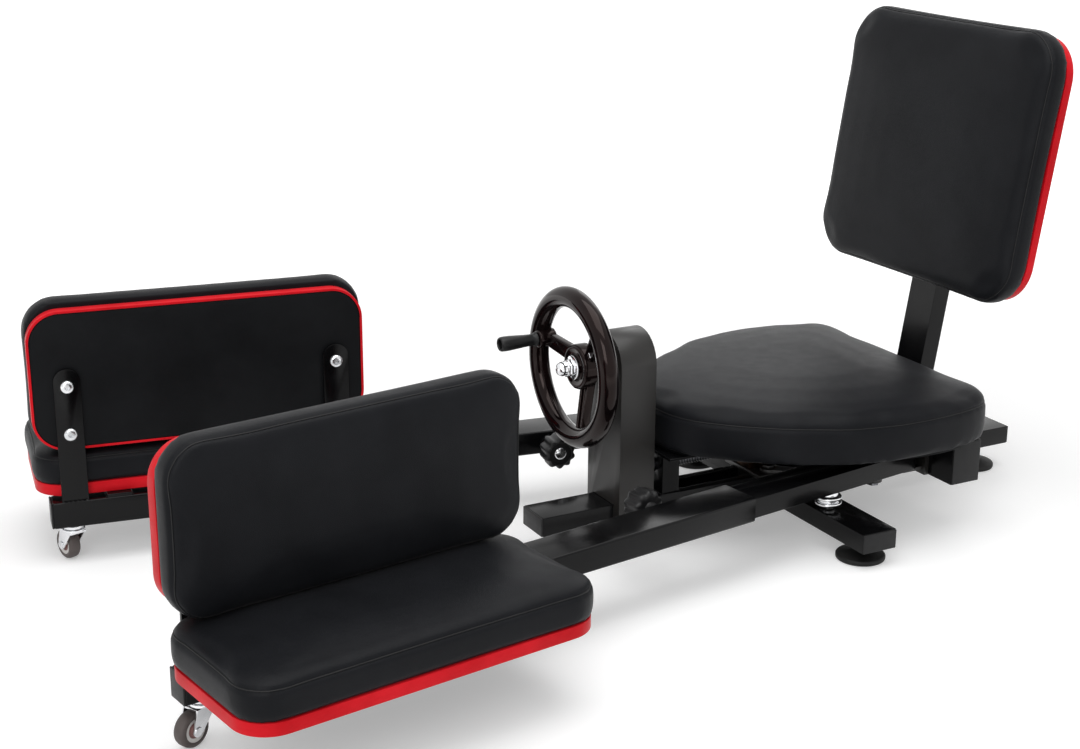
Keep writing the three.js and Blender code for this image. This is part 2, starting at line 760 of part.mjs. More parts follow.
piece(machine, 'handwheel', handWheel(), bakelite);
piece(machine, 'wheel_shaft', wheelShaft(), steel);
piece(machine, 'wheel_nut', wheelNut(), chrome);
piece(machine, 'crank_pin', crankPinBody(), chrome);
piece(machine, 'crank_handle', crankHandle(), plastic);

// Lead screw over the beam, with the nut, the crosshead and the two links that spread the arms

const webFront = rearTube.front - fit.seat - pivot.webThick;
const screwBlockRear = webFront - fit.seat;
const screwBlockFront = screwBlockRear - screwBlock.length;
const screwFront = column.front + column.wall + screw.frontStop;

function leadScrew() {
  return rodY(screw.radius, 0, screwHeight, screwFront, screwBlockRear - fit.overrun);
}

function screwEndBlock() {
  const body = block(
    -screwBlock.halfWidth, screwBlock.halfWidth, screwBlockFront, screwBlockRear,
    screwHeight - screwBlock.halfHeight, screwHeight + screwBlock.halfHeight,
  );
  return cut(
    body,
    rodY(
      screw.radius + fit.running, 0, screwHeight, screwBlockFront - fit.overrun,
      screwBlockRear + fit.overrun,
    ),
  );
}

function screwNut() {
  const bottom = crossheadTop + fit.seat;
  const body = block(
    -nut.halfWidth, nut.halfWidth, nutPlace - nut.halfLength, nutPlace + nut.halfLength, bottom,
    bottom + nut.height,
  );
  const bore = rodY(
    screw.radius + fit.running, 0, screwHeight,
    nutPlace - nut.halfLength - fit.overrun, nutPlace + nut.halfLength + fit.overrun,
  );
  return cut(body, bore);
}

function crossheadPlate() {
  const plate = block(
    -crosshead.halfWidth, crosshead.halfWidth,
    nutPlace - crosshead.halfLength, nutPlace + crosshead.halfLength, crossheadBottom, crossheadTop,
  );
  const keyHalf = beam.slotWidth / 2 - crosshead.keyPlay;
  const key = block(
    -keyHalf, keyHalf, nutPlace - nut.halfLength, nutPlace + nut.halfLength,
    crossheadBottom - crosshead.keyDepth, crossheadTop,
  );
  const studs = [-1, 1].flatMap((side) => {
    const x = side * crosshead.studOffset;
    const capBottom = linkTop + fit.running;
    return [
      rodZ(crosshead.studRadius, x, nutPlace, crossheadBottom, capBottom + crosshead.capThick / 2),
      rodZ(crosshead.studCap, x, nutPlace, capBottom, capBottom + crosshead.capThick, 6),
    ];
  });
  return join(plate, key, ...studs);
}

// A link lies from its stud on the crosshead to its bolt under the arm
function linkFrame(side) {
  const group = new THREE.Group();
  group.position.set(side * crosshead.studOffset, nutPlace, 0);
  const turn = Math.atan2(crankPin.y - nutPlace, crankPin.x - crosshead.studOffset);
  group.rotation.z = side > 0 ? turn : Math.PI - turn;
  return group;
}

function linkBar() {
  const shape = linkShape(link.length, link.eyeRadius, link.waist);
  const bar = slab(shape, link.thick, 8).translate(0, 0, linkBottom);
  const low = linkBottom - fit.overrun;
  const high = linkTop + fit.overrun;
  return cut(
    bar,
    rodZ(crosshead.studRadius + fit.running, 0, 0, low, high),
    rodZ(link.boltRadius + fit.seat, link.length, 0, low, high),
  );
}

function linkBolt() {
  const shank = rodZ(
    link.boltRadius, link.length, 0, linkBottom - fit.seat - link.headThick, armBottom - fit.seat,
  );
  const head = rodZ(
    link.headRadius, link.length, 0, linkBottom - fit.seat - link.headThick,
    linkBottom - fit.seat, 6,
  );
  const collar = rodZ(
    link.headRadius, link.length, 0, linkTop + fit.seat, armBottom - fit.seat, smallSides,
  );
  return join(shank, head, collar);
}

piece(machine, 'lead_screw', leadScrew(), steel);
piece(machine, 'screw_end_block', screwEndBlock(), satin);
piece(machine, 'screw_nut', screwNut(), bronze);
piece(machine, 'crosshead', crossheadPlate(), satin);
[['left', 1], ['right', -1]].forEach(([label, side]) => {
  const frame = linkFrame(side);
  machine.add(frame);
  piece(frame, `link_${label}`, linkBar(), satin);
  piece(frame, `link_bolt_${label}`, linkBolt(), steel);
});

// Rear cross tube and the yoke that holds the arms' pivot pins

function rearCrossTube() {
  const half = rearTube.halfLength;
  const rear = rearTube.front + rearTube.depth;
  const body = block(-half, half, rearTube.front, rear, rearTube.bottom, seatTopOfFrame);
  const bore = block(
    -half + rearTube.wall, half - rearTube.wall, rearTube.front + rearTube.wall, rear - rearTube.wall,
    rearTube.bottom + rearTube.wall, seatTopOfFrame - rearTube.wall,
  );
  const saddle = block(
    -beam.width / 2, beam.width / 2, rearTube.front, rear, beam.top + fit.seat,
    rearTube.bottom + rearTube.wall,
  );
  const holes = [-1, 1].map((side) => rodZ(
    rearTube.holeRadius, side * (half - rearTube.holeInset), (rearTube.front + rear) / 2,
    rearTube.bottom - fit.overrun, rearTube.bottom + 2 * rearTube.wall, smallSides,
  ));
  return cut(join(cut(body, bore), saddle), ...holes);
}

function pivotYoke() {
  const web = block(
    -pivot.webHalf, pivot.webHalf, webFront, rearTube.front - fit.seat, rearTube.bottom,
    seatTopOfFrame - fit.seat,
  );
  const lugs = [-1, 1].flatMap((side) => {
    const shape = new THREE.Shape();
    shape.absarc(0, 0, pivot.lugRadius, Math.PI, 2 * Math.PI, false);
    const back = webFront + pivot.webThick / 2 - pivot.y;
    shape.lineTo(pivot.lugRadius, back);
    shape.lineTo(-pivot.lugRadius, back);
    shape.closePath();
    const x = side * pivot.x;
    return [
      slab(shape, pivot.lugUpper).translate(x, pivot.y, armTop + pivot.lugGap),
      slab(shape, pivot.lugLower).translate(x, pivot.y, armBottom - pivot.lugGap - pivot.lugLower),
    ];
  });
  const bores = [-1, 1].map((side) => rodZ(
    pivot.pinRadius + fit.seat, side * pivot.x, pivot.y, rearTube.bottom, seatTopOfFrame,
  ));
  return cut(join(web, ...lugs), ...bores);
}

function pivotPin(side) {
  const top = armTop + pivot.lugGap + pivot.lugUpper + fit.seat;
  const bottom = armBottom - pivot.lugGap - pivot.lugLower;
  const x = side * pivot.x;
  return join(
    rodZ(pivot.pinRadius, x, pivot.y, bottom, top + pivot.headThick / 2),
    rodZ(pivot.headRadius, x, pivot.y, top, top + pivot.headThick),
  );
}

piece(machine, 'rear_cross_tube', rearCrossTube(), gloss);
piece(machine, 'pivot_yoke', pivotYoke(), satin);
piece(machine, 'pivot_pin_left', pivotPin(1), steel);
piece(machine, 'pivot_pin_right', pivotPin(-1), steel);

// Seat on its front post and the rear cross tube

function frontPost() {
  const half = seatPost.width / 2;
  const rear = seatPost.front + seatPost.depth;
  const bottom = beam.top + fit.seat;
  const body = block(-half, half, seatPost.front, rear, bottom, seatTopOfFrame);
  const bore = block(
    -half + seatPost.wall, half - seatPost.wall, seatPost.front + seatPost.wall, rear - seatPost.wall,
    bottom - fit.overrun, seatTopOfFrame - seatPost.flangeThick,
  );
  const middle = (seatPost.front + rear) / 2;
  const flange = block(
    -seatPost.flangeHalfX, seatPost.flangeHalfX, middle - seatPost.flangeHalfY,
    middle + seatPost.flangeHalfY,
    seatTopOfFrame - seatPost.flangeThick, seatTopOfFrame,
  );
  const passage = rodY(
    seatPost.boreRadius, 0, screwHeight, seatPost.front - fit.overrun, rear + fit.overrun,
  );
  return cut(join(cut(body, bore), flange), passage);
}

const seatPlan = seatOutline();
const seatBoard = boardFrom(insetOutline(seatPlan, seat.boardInset), seat.boardThick);
const seatBoardBottom = seatTopOfFrame + fit.seat;
const seatFoam = cushion(seatPlan, seat.thick, seat.crown);
piece(machine, 'seat_post', frontPost(), gloss);
piece(machine, 'seat_board', seatBoard.translate(0, 0, seatBoardBottom), plywood);
piece(
  machine, 'seat_cushion', seatFoam.translate(0, 0, seatBoardBottom + seat.boardThick + fit.seat),
  leather,
);

// Backrest: a leaning post behind the seat and a padded board on its front face.
// Its group has y along the lean's normal, forward, and z up the post.

const leaning = new THREE.Group();
leaning.position.set(0, backPost.baseFront, beam.top);
leaning.rotation.x = -rad(backLean);
machine.add(leaning);

function leaningPost() {
  const half = backPost.width / 2;
  const height = (backPost.top - beam.top) / Math.cos(rad(backLean));
  const body = block(-half, half, 0, backPost.depth, -backPost.depth, height);
  const bore = block(
    -half + backPost.wall, half - backPost.wall, backPost.wall, backPost.depth - backPost.wall,
    -2 * backPost.depth, height - backPost.wall,
  );
  // The foot is sawn level, so that it stands on the beam
  const below = block(-2 * half, 2 * half, -height, height, -height, fit.seat).rotateX(rad(backLean));
  return cut(body, bore, below);
}

// A flat upholstered panel drawn in x and y, stood up so that its board faces +Y
const standing = (geometry) => geometry.rotateX(Math.PI / 2);

const backPlan = roundedOutline(backRest.width / 2, backRest.height / 2, backRest.radius);
const backMiddle = (backRest.bottom - beam.top) / Math.cos(rad(backLean)) + backRest.height / 2;
const backBoard = standing(boardFrom(backPlan, backRest.boardThick));
const backFoam = standing(cushion(backPlan, backRest.thick, backRest.crown));
piece(leaning, 'back_post', leaningPost(), gloss);
piece(leaning, 'back_board', backBoard.translate(0, -fit.seat, backMiddle), redTrim);
const backFoamFace = -fit.seat - backRest.boardThick - fit.seat;
piece(leaning, 'back_cushion', backFoam.translate(0, backFoamFace, backMiddle), leather);

// Arms. Each lies in a group at its pivot: x runs to its own side, -y runs forward.

function innerArm(side) {
  const half = armTube.width / 2;
  const outer = block(-half, half, -armTube.front, half, armBottom, armTop);
  const round = rodZ(half, 0, 0, armBottom - fit.overrun, armTop + fit.overrun, 24);
  const forward = block(-half, half, -armTube.front, 0, armBottom - fit.overrun, armTop + fit.overrun);
  const bore = block(
    -half + armTube.wall, half - armTube.wall, -armTube.front - fit.overrun, half,
    armBottom + armTube.wall, armTop - armTube.wall,
  );
  const pinBore = rodZ(pivot.pinRadius + fit.running, 0, 0, armBottom - fit.overrun, armTop + fit.overrun);
  const holes = [-1, 0, 1, 2].map((step) => {
    const inner = -side * (half + fit.overrun);
    const far = -side * (half - 2 * armTube.wall);
    return rodX(
      armTube.holeRadius, -knob.distance + step * armTube.holePitch, armTube.centre,
      Math.min(inner, far), Math.max(inner, far), smallSides,
    );
  });
  return cut(keep(outer, join(round, forward)), bore, pinBore, ...holes);
}

function thrustStop() {
  const top = armBottom - fit.seat;
  const profile = [];
  let height = crossBarTop + fit.seat;
  const ring = (radius, long) => {
    profile.push([radius, height], [radius, height + long]);
    height += long;
  };
  profile.push([0, height]);
  ring(armStop.nutRadius, armStop.neckLong);
  ring(armStop.ringRadius, armStop.ringThick);
  ring(armStop.grooveRadius, armStop.ringThick / 2);
  ring(armStop.ringRadius, armStop.ringThick);
  profile.push([armStop.neckRadius, height], [armStop.neckRadius, top], [0, top]);
  return turned(profile).translate(0, -armStop.distance, 0);
}

// The sliding leg frame: sleeve, joining plate, base tube, two straps and two pad brackets, welded
function legFrame(side) {
  const w = sleeveHalfWidth;
  const h = sleeveHalfHeight;
  const centre = armTube.centre;
  const plateFront = -(sleeve.plateAt + sleeve.plateThick);
  const weld = fit.overrun / 10;
  const box = (v0, v1, y0, y1, z0, z1) => block(
    Math.min(side * v0, side * v1), Math.max(side * v0, side * v1), y0, y1, z0, z1,
  );
  const outer = box(-w, w, -sleeve.plateAt, -sleeve.rear, centre - h, centre + h);
  const bore = box(
    -w + sleeve.wall, w - sleeve.wall, -sleeve.plateAt, -sleeve.rear + fit.overrun,
    centre - h + sleeve.wall, centre + h - sleeve.wall,
  );
  const plate = box(-w, w, plateFront, -sleeve.plateAt, baseTube.bottom, centre + h);
  const v0 = baseTube.centre - baseTube.width / 2;
  const v1 = baseTube.centre + baseTube.width / 2;
  const base = box(v0, v1, -baseTube.front, plateFront + weld, baseTube.bottom, baseTubeTop);
  const baseBore = box(
    v0 + baseTube.wall, v1 - baseTube.wall, -baseTube.front + baseTube.wall, plateFront,
    baseTube.bottom + baseTube.wall, baseTubeTop - baseTube.wall,
  );
  const straps = [strap.near, strap.far].map((f) => (
    box(
      v0, strap.reach, -f - strap.width / 2, -f + strap.width / 2, baseTubeTop - weld,
      baseTubeTop + strap.thick,
    )
  ));
  const brackets = [bracket.near, bracket.far].map((f) => padBracket(side, f, weld));
  const knobBush = rodX(
    knob.bushRadius, -knob.distance, centre,
    Math.min(-side * (w - weld), -side * (w + knob.bushLength)),
    Math.max(-side * (w - weld), -side * (w + knob.bushLength)),
  );
  const pinHole = rodX(
    knob.pinRadius + fit.running, -knob.distance, centre,
    Math.min(-side * (w - 2 * sleeve.wall), -side * (w + 2 * knob.bushLength)),
    Math.max(-side * (w - 2 * sleeve.wall), -side * (w + 2 * knob.bushLength)),
  );
  const stemHole = rodZ(
    caster.stemRadius + fit.seat, side * baseTube.centre, -caster.distance,
    baseTube.bottom - fit.overrun, baseTube.bottom + 2 * baseTube.wall,
  );
  return cut(
    join(cut(join(outer, base, plate, ...straps, ...brackets, knobBush), bore, baseBore)),
    pinHole, stemHole,
  );
}

// A flat bar with a round head, standing on the base tube's inner edge
function padBracket(side, distance, weld) {
  const half = bracket.width / 2;
  const shape = new THREE.Shape();
  shape.moveTo(-half, baseTubeTop - weld);
  shape.lineTo(half, baseTubeTop - weld);
  shape.absarc(0, bracket.top - half, half, 0, Math.PI, false);
  shape.closePath();
  [bracket.boltLow, bracket.boltLow + bracket.boltPitch].forEach((z) => {
    const hole = new THREE.Path();
    hole.absarc(0, z, bracket.boltRadius, 0, 2 * Math.PI, true);
    shape.holes.push(hole);
  });
  const bar = slab(shape, bracket.thick, 8).rotateX(Math.PI / 2).rotateZ(Math.PI / 2);
  const outerFace = bracket.plane - fit.seat;
  const low = side > 0 ? outerFace - bracket.thick : -outerFace;
  return bar.translate(low, -distance, 0);
}

// Sprung pull pin with a fluted knob, on the sleeve's inner side
function pullKnob(side) {
  const start = sleeveHalfWidth + knob.bushLength + fit.running;
  const face = start + knob.collarLength;
  const points = [];
  const count = knobLobes * 4;
  for (let step = 0; step < count; step += 1) {
    const angle = 2 * Math.PI * step / count;
    const radius = knob.radius + knob.flute * Math.cos(knobLobes * angle);
    points.push([radius * Math.cos(angle), radius * Math.sin(angle)]);
  }
  const body = slab(polygon(points), knob.length).translate(0, 0, face);
  const collar = rodZ(knob.collarRadius, 0, 0, start, face + fit.overrun);
  const pin = rodZ(knob.pinRadius, 0, 0, armTube.width / 2 + knob.tipGap, face, smallSides);
  const dish = rodZ(
    knob.faceRadius, 0, 0, face + knob.length - knob.faceDeep, face + knob.length + fit.overrun,
  );
  const whole = cut(join(body, collar, pin), dish);
  return whole.rotateY(-side * Math.PI / 2).translate(0, -knob.distance, armTube.centre);
}

function swivelCaster(parent, label, side) {
  const place = new THREE.Group();
  place.position.set(side * baseTube.centre, -caster.distance, 0);
  place.rotation.z = rad(casterTrail[label]);
  parent.add(place);
  const capTop = baseTube.bottom - fit.seat;
  const capBottom = capTop - caster.capThick;
  const stem = join(
    rodZ(caster.capRadius, 0, 0, capBottom, capTop),
    rodZ(
      caster.stemRadius, 0, 0, capTop - caster.capThick / 2, baseTube.bottom + caster.stemLength,
      smallSides,
    ),
  );
  piece(place, `caster_stem_${label}`, stem, chrome);
  piece(place, `caster_fork_${label}`, casterFork(capBottom - fit.running), chrome);
  piece(place, `caster_wheel_${label}`, casterWheel(), tread);
  piece(place, `caster_axle_${label}`, casterAxle(), chrome);
}

const forkInside = caster.wheelWidth / 2 + caster.legPlay;
const forkOutside = forkInside + caster.legThick;

function casterFork(top) {
  const crownBottom = top - caster.crownThick;
  const crown = rodZ(caster.crownRadius, 0, 0, crownBottom, top);
  const bridgeHalf = forkOutside;
  const bridge = block(
    -caster.rootHalf, caster.trail, -bridgeHalf, bridgeHalf, crownBottom - caster.legThick,
    crownBottom + fit.seat,
  );
  const shape = new THREE.Shape();
  shape.moveTo(-caster.rootHalf, crownBottom);
  shape.lineTo(caster.trail - caster.legHalf, caster.wheelRadius - caster.legHalf / 2);
  shape.absarc(
    caster.trail, caster.wheelRadius, caster.legHalf, Math.PI + rad(forkNeck), 2 * Math.PI, false,
  );
  shape.lineTo(caster.trail, crownBottom);
  shape.closePath();
  const axleHole = new THREE.Path();
  axleHole.absarc(caster.trail, caster.wheelRadius, caster.axleRadius + fit.seat, 0, 2 * Math.PI, true);
  shape.holes.push(axleHole);
  const legs = [-forkOutside, forkInside].map((y) => upright(shape, y, y + caster.legThick, 6));
  const clear = rodY(
    caster.wheelRadius + caster.legPlay, caster.trail, caster.wheelRadius, -forkInside,
    forkInside, 24,
  );
  return cut(join(crown, cut(bridge, clear), ...legs));
}

function casterWheel() {
  const half = caster.wheelWidth / 2;
  const bore = caster.axleRadius + fit.running;
  const profile = [
    [bore, -half], [caster.hubRadius, -half], [caster.hubRadius, -half + caster.dishDeep],
    [caster.rimRadius, -half + caster.dishDeep], [caster.rimRadius, -half],
    [caster.wheelRadius - caster.treadEdge, -half], [caster.wheelRadius, -half + caster.treadEdge],
    [caster.wheelRadius, half - caster.treadEdge], [caster.wheelRadius - caster.treadEdge, half],
    [caster.rimRadius, half], [caster.rimRadius, half - caster.dishDeep],
    [caster.hubRadius, half - caster.dishDeep], [caster.hubRadius, half], [bore, half], [bore, -half],
  ];
  return alongFront(turned(profile, 18)).translate(caster.trail, 0, caster.wheelRadius);
}

function casterAxle() {
  const reach = forkOutside + caster.headThick;
  return join(
    rodY(caster.axleRadius, caster.trail, caster.wheelRadius, -reach, reach, smallSides),
    rodY(caster.headRadius, caster.trail, caster.wheelRadius, forkOutside + fit.seat, reach, smallSides),
    rodY(caster.headRadius, caster.trail, caster.wheelRadius, -reach, -forkOutside - fit.seat, 6),
  );
}

function legUpholstery(parent, label, side) {
  const middle = -(legFront + legRear) / 2;
  const across = side * (legOuter + legInner) / 2;
  const plan = roundedOutline(legCushion.width / 2, legCushion.length / 2, legCushion.radius);
  const board = boardFrom(plan, legCushion.boardThick).translate(across, middle, legBottom);
  const foamBottom = legBottom + legCushion.boardThick + fit.seat;
  const foam = cushion(plan, legCushion.thick, legCushion.crown).translate(across, middle, foamBottom);
  piece(parent, `leg_board_${label}`, board, redTrim);
  piece(parent, `leg_cushion_${label}`, foam, leather);

  // The side pad stands on edge, its board against the brackets and its foam towards the leg
  const stand = (geometry, start) => {
    geometry.rotateX(Math.PI / 2).rotateZ(side > 0 ? Math.PI / 2 : -Math.PI / 2);
    return geometry.translate(side * start, -(padFront + padRear) / 2, (padBottom + padTop) / 2);
  };
  const padPlan = roundedOutline(legPad.length / 2, legPad.height / 2, legPad.radius);
  const padBoard = boardFrom(padPlan, legPad.boardThick);
  const padFoam = cushion(padPlan, legPad.thick, legPad.crown);
  piece(parent, `pad_board_${label}`, stand(padBoard, bracket.plane), redTrim);
  piece(
    parent, `pad_cushion_${label}`, stand(padFoam, bracket.plane + legPad.boardThick + fit.seat),
    leather,
  );
}

[['left', 1], ['right', -1]].forEach(([label, side]) => {
  const arm = new THREE.Group();
  arm.position.set(side * pivot.x, pivot.y, 0);
  arm.rotation.z = side * rad(armSplay);
  machine.add(arm);
  piece(arm, `arm_tube_${label}`, innerArm(side), gloss);
  piece(arm, `thrust_stop_${label}`, thrustStop(), chrome);
  piece(arm, `leg_frame_${label}`, legFrame(side), gloss);
  legUpholstery(arm, label, side);
  piece(arm, `pull_knob_${label}`, pullKnob(side), plastic);
  swivelCaster(arm, label, side);
});

// The origin is under the middle of the whole machine, on the floor
machine.updateMatrixWorld(true);
const reach = new THREE.Box3().setFromObject(machine, true);
machine.position.y = -(reach.min.y + reach.max.y) / 2;

export default machine;
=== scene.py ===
import json
import math

import bpy
import numpy as np
from mathutils import Matrix, Vector
from mathutils.bvhtree import BVHTree
from mathutils.kdtree import KDTree

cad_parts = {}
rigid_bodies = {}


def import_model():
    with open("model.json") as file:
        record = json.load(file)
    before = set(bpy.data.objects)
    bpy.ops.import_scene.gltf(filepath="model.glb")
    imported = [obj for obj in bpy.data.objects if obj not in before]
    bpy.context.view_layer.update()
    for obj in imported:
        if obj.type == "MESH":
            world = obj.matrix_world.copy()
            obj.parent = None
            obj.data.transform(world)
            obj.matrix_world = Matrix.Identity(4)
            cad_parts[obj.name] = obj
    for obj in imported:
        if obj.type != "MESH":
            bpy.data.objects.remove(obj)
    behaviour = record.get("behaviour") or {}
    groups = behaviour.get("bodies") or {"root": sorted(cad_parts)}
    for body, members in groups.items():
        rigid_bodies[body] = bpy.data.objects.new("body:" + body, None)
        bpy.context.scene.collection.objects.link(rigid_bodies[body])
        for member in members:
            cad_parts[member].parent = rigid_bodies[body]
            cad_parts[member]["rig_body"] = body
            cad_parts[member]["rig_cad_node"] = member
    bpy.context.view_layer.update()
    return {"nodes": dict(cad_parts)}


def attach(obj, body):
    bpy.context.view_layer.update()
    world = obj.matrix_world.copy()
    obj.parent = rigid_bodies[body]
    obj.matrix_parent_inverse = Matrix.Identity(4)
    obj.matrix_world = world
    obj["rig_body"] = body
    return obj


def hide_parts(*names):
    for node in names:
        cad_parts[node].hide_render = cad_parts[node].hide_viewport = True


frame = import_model()
nodes = frame["nodes"]
mm = 0.001


# ---- colours and materials

def hexColor(text, alpha=1.0):
    values = [int(text[i:i + 2], 16) / 255 for i in (1, 3, 5)]
    linear = [v / 12.92 if v <= 0.04045 else ((v + 0.055) / 1.055) ** 2.4 for v in values]
    return (*linear, alpha)


# A setting is the stops of a color ramp, a property of the node or the value of one of its sockets
def addNode(tree, kind, settings=None, links=None):
    node = tree.nodes.new(kind)
    for key, value in (settings or {}).items():
        if key == "stops":
            for element, (position, color) in zip(node.color_ramp.elements, value):
                element.position, element.color = position, color
        elif hasattr(node, key):
            setattr(node, key, value)
        else:
            node.inputs[key].default_value = value
    for key, source in (links or {}).items():
        tree.links.new(source, node.inputs[key])
    return node


def mottled(tree, place, scale, low, high):
    noise = addNode(tree, "ShaderNodeTexNoise", {"Scale": scale, "Detail": 3}, {"Vector": place})
    return addNode(tree, "ShaderNodeMapRange", {"From Min": 0.3, "From Max": 0.7, "To Min": low, "To Max": high},
                   {"Value": noise.outputs["Fac"]}).outputs["Result"]


def colorMix(tree, place, scale, dark, light):
    noise = addNode(tree, "ShaderNodeTexNoise", {"Scale": scale, "Detail": 4}, {"Vector": place})
    return addNode(tree, "ShaderNodeValToRGB", {"stops": [(0.35, hexColor(dark)), (0.65, hexColor(light))]},
                   {"Fac": noise.outputs["Fac"]}).outputs["Color"]


def emptyTree(owner):
    owner.use_nodes = True
    owner.node_tree.nodes.clear()
    return owner.node_tree


# Pebbles between cell edges, with soft creases across them
def pebbleGrain(tree, place, scale):
    cells = addNode(tree, "ShaderNodeTexVoronoi", {"feature": "DISTANCE_TO_EDGE", "Scale": scale}, {"Vector": place})
    pebble = addNode(tree, "ShaderNodeValToRGB", {"stops": [(0.0, (0, 0, 0, 1)), (0.22, (1, 1, 1, 1))]},
                     {"Fac": cells.outputs["Distance"]})
    crease = addNode(tree, "ShaderNodeTexNoise", {"Scale": 190, "Detail": 4}, {"Vector": place})
    return addNode(tree, "ShaderNodeMix", {"data_type": "FLOAT", "Factor": 0.4},
                   {2: pebble.outputs["Color"], 3: crease.outputs["Fac"]}).outputs[0]


# One material: its process gives the scales, per metre, at which colour, roughness and relief vary
def finish(name, process, dark, light, rough, relief, extra=None):
    material = bpy.data.materials.new(name)
    tree = emptyTree(material)
    shader = addNode(tree, "ShaderNodeBsdfPrincipled", {**process["shader"], **(extra or {})})
    addNode(tree, "ShaderNodeOutputMaterial", links={"Surface": shader.outputs["BSDF"]})
    place = addNode(tree, "ShaderNodeTexCoord").outputs["Object"]
    tree.links.new(colorMix(tree, place, process["tint"], dark, light), shader.inputs["Base Color"])
    low, high = process["spread"]
    tree.links.new(mottled(tree, place, process["mottle"], rough + low, rough + high), shader.inputs["Roughness"])
    if "pebble" in process:
        height = pebbleGrain(tree, place, process["pebble"])
    else:
        grain = addNode(tree, "ShaderNodeTexNoise", {"Scale": process["grain"], "Detail": 2}, {"Vector": place})
        height = grain.outputs["Fac"]
    bump = addNode(tree, "ShaderNodeBump", {"Strength": relief, "Distance": process["deep"]}, {"Height": height})
    tree.links.new(bump.outputs["Normal"], shader.inputs["Normal"])
    return material


# Powder coated steel: sprayed powder flows out into a faint orange peel about 2 mm wide
powderCoat = {"shader": {"IOR": 1.5}, "tint": 9, "mottle": 30, "spread": (-0.04, 0.05), "grain": 420, "deep": 0.0003}
# PU leather: a printed pebble grain, about 1 mm, over knitted cloth, with a soft sheen
puLeather = {"shader": {"IOR": 1.45, "Specular IOR Level": 0.11, "Sheen Roughness": 0.45}, "tint": 14, "mottle": 60,
             "spread": (-0.02, 0.03), "pebble": 620, "deep": 0.0004}
# Chrome or zinc plate: mirror bright with faint polishing haze
brightPlate = {"shader": {"Metallic": 1.0}, "tint": 40, "mottle": 120, "spread": (0, 0.08), "grain": 900,
               "deep": 0.0001}
# Turned and oiled metal: lathe rings too small to see one by one, so mostly the roughness varies
machinedMetal = {"shader": {"Metallic": 1.0}, "tint": 70, "mottle": 200, "spread": (-0.06, 0.08),
                 "grain": 1500, "deep": 0.0001}
# Phenolic resin moulded against polished steel: deep brown black under a clear gloss. Its Specular Tint dims and warms
# the gloss reflections, a painted reflection of warm, dark surroundings
phenolicResinWithPaintedReflection = {"shader": {"IOR": 1.6, "Specular IOR Level": 0.26, "Specular Tint": hexColor("#c9b6b2")}, "tint": 25,
                 "mottle": 50, "spread": (0, 0.06), "grain": 60, "deep": 0.0006}
# Injection moulded plastic or rubber: spark eroded texture, under a millimetre wide
mouldedPlastic = {"shader": {"IOR": 1.5, "Specular IOR Level": 0.3}, "tint": 35, "mottle": 90, "spread": (-0.05, 0.06),
                  "grain": 1800, "deep": 0.0002}

glossSteel = finish("powder_coat_gloss_black", powderCoat, "#070708", "#0d0d0e", 0.2, 0.1,
                    {"Specular IOR Level": 0.18})
# Satin black coat: its rougher gloss is real, but its base colour is lifted to a warm dark grey as painted sheen,
# standing for the light on the column's faces
satinSteelWithPaintedSheen = finish("powder_coat_satin_black_painted_sheen", powderCoat, "#1b1a19", "#252321", 0.36, 0.15,
                    {"Specular IOR Level": 0.42})
blackLeather = finish("pu_leather_black", puLeather, "#111215", "#17181b", 0.42, 0.3, {"Sheen Weight": 0.02})
backVinyl = finish("backing_vinyl_black", puLeather, "#0a0b0d", "#121315", 0.5, 0.22, {"Sheen Weight": 0.03})
redLeather = finish("pu_leather_red", puLeather, "#c8101c", "#e01c28", 0.4, 0.2, {"Sheen Weight": 0.03})
# Near-black seam thread: partly the thread's own colour, partly painted shade of the gap between the panels
seamThreadWithPaintedGapShade = finish("bonded_nylon_thread_painted_gap_shade", mouldedPlastic, "#060607", "#0f0f10", 0.5, 0.3)
chrome = finish("chrome_plate", brightPlate, "#dcdde0", "#f2f3f5", 0.08, 0.05)
zincBright = finish("bright_zinc_plate", brightPlate, "#c6c8cb", "#f2f3f5", 0.2, 0.05)
oiledSteel = finish("oiled_machined_steel", machinedMetal, "#5c5d60", "#8c8d90", 0.34, 0.15)
chainSteel = finish("blued_chain_steel", machinedMetal, "#2e2f33", "#515257", 0.32, 0.15)
nutBronze = finish("cast_tin_bronze_browned", machinedMetal, "#33241a", "#4a3524", 0.42, 0.15)
wheelResinWithPaintedReflection = finish("phenolic_resin_gloss_painted_reflection", phenolicResinWithPaintedReflection, "#0a0607", "#150d0d", 0.06, 0.06)
blackAbs = finish("moulded_abs_black", mouldedPlastic, "#101011", "#19191a", 0.38, 0.35)
capPlastic = finish("moulded_pe_cap_black", mouldedPlastic, "#0e0e0f", "#161617", 0.45, 0.3)
footRubber = finish("moulded_rubber_black", mouldedPlastic, "#0f0f0f", "#1b1b1a", 0.62, 0.5)
treadRubber = finish("thermoplastic_rubber_grey", mouldedPlastic, "#4a4341", "#5c5452", 0.5, 0.4)
rimNylon = finish("nylon_white", mouldedPlastic, "#c9c5c2", "#e2dfdc", 0.4, 0.2)
hubNylon = finish("nylon_red_brown", mouldedPlastic, "#7c5552", "#94706c", 0.4, 0.2)
print("materials ready")


# ---- modelling helpers

def objectMode():
    bpy.ops.object.mode_set(mode="OBJECT")


def addToScene(piece):
    bpy.context.scene.collection.objects.link(piece)


def clearSelection():
    if bpy.context.object and bpy.context.object.mode != "OBJECT":
        objectMode()
    bpy.ops.object.select_all(action="DESELECT")


def activate(piece):
    clearSelection()
    piece.select_set(True)
    bpy.context.view_layer.objects.active = piece


def settle(piece, matrix=None):
    if matrix is not None:
        piece.matrix_world = matrix @ piece.matrix_world
    bpy.context.view_layer.update()
    piece.data.transform(piece.matrix_world)
    piece.matrix_world = Matrix.Identity(4)
    return piece


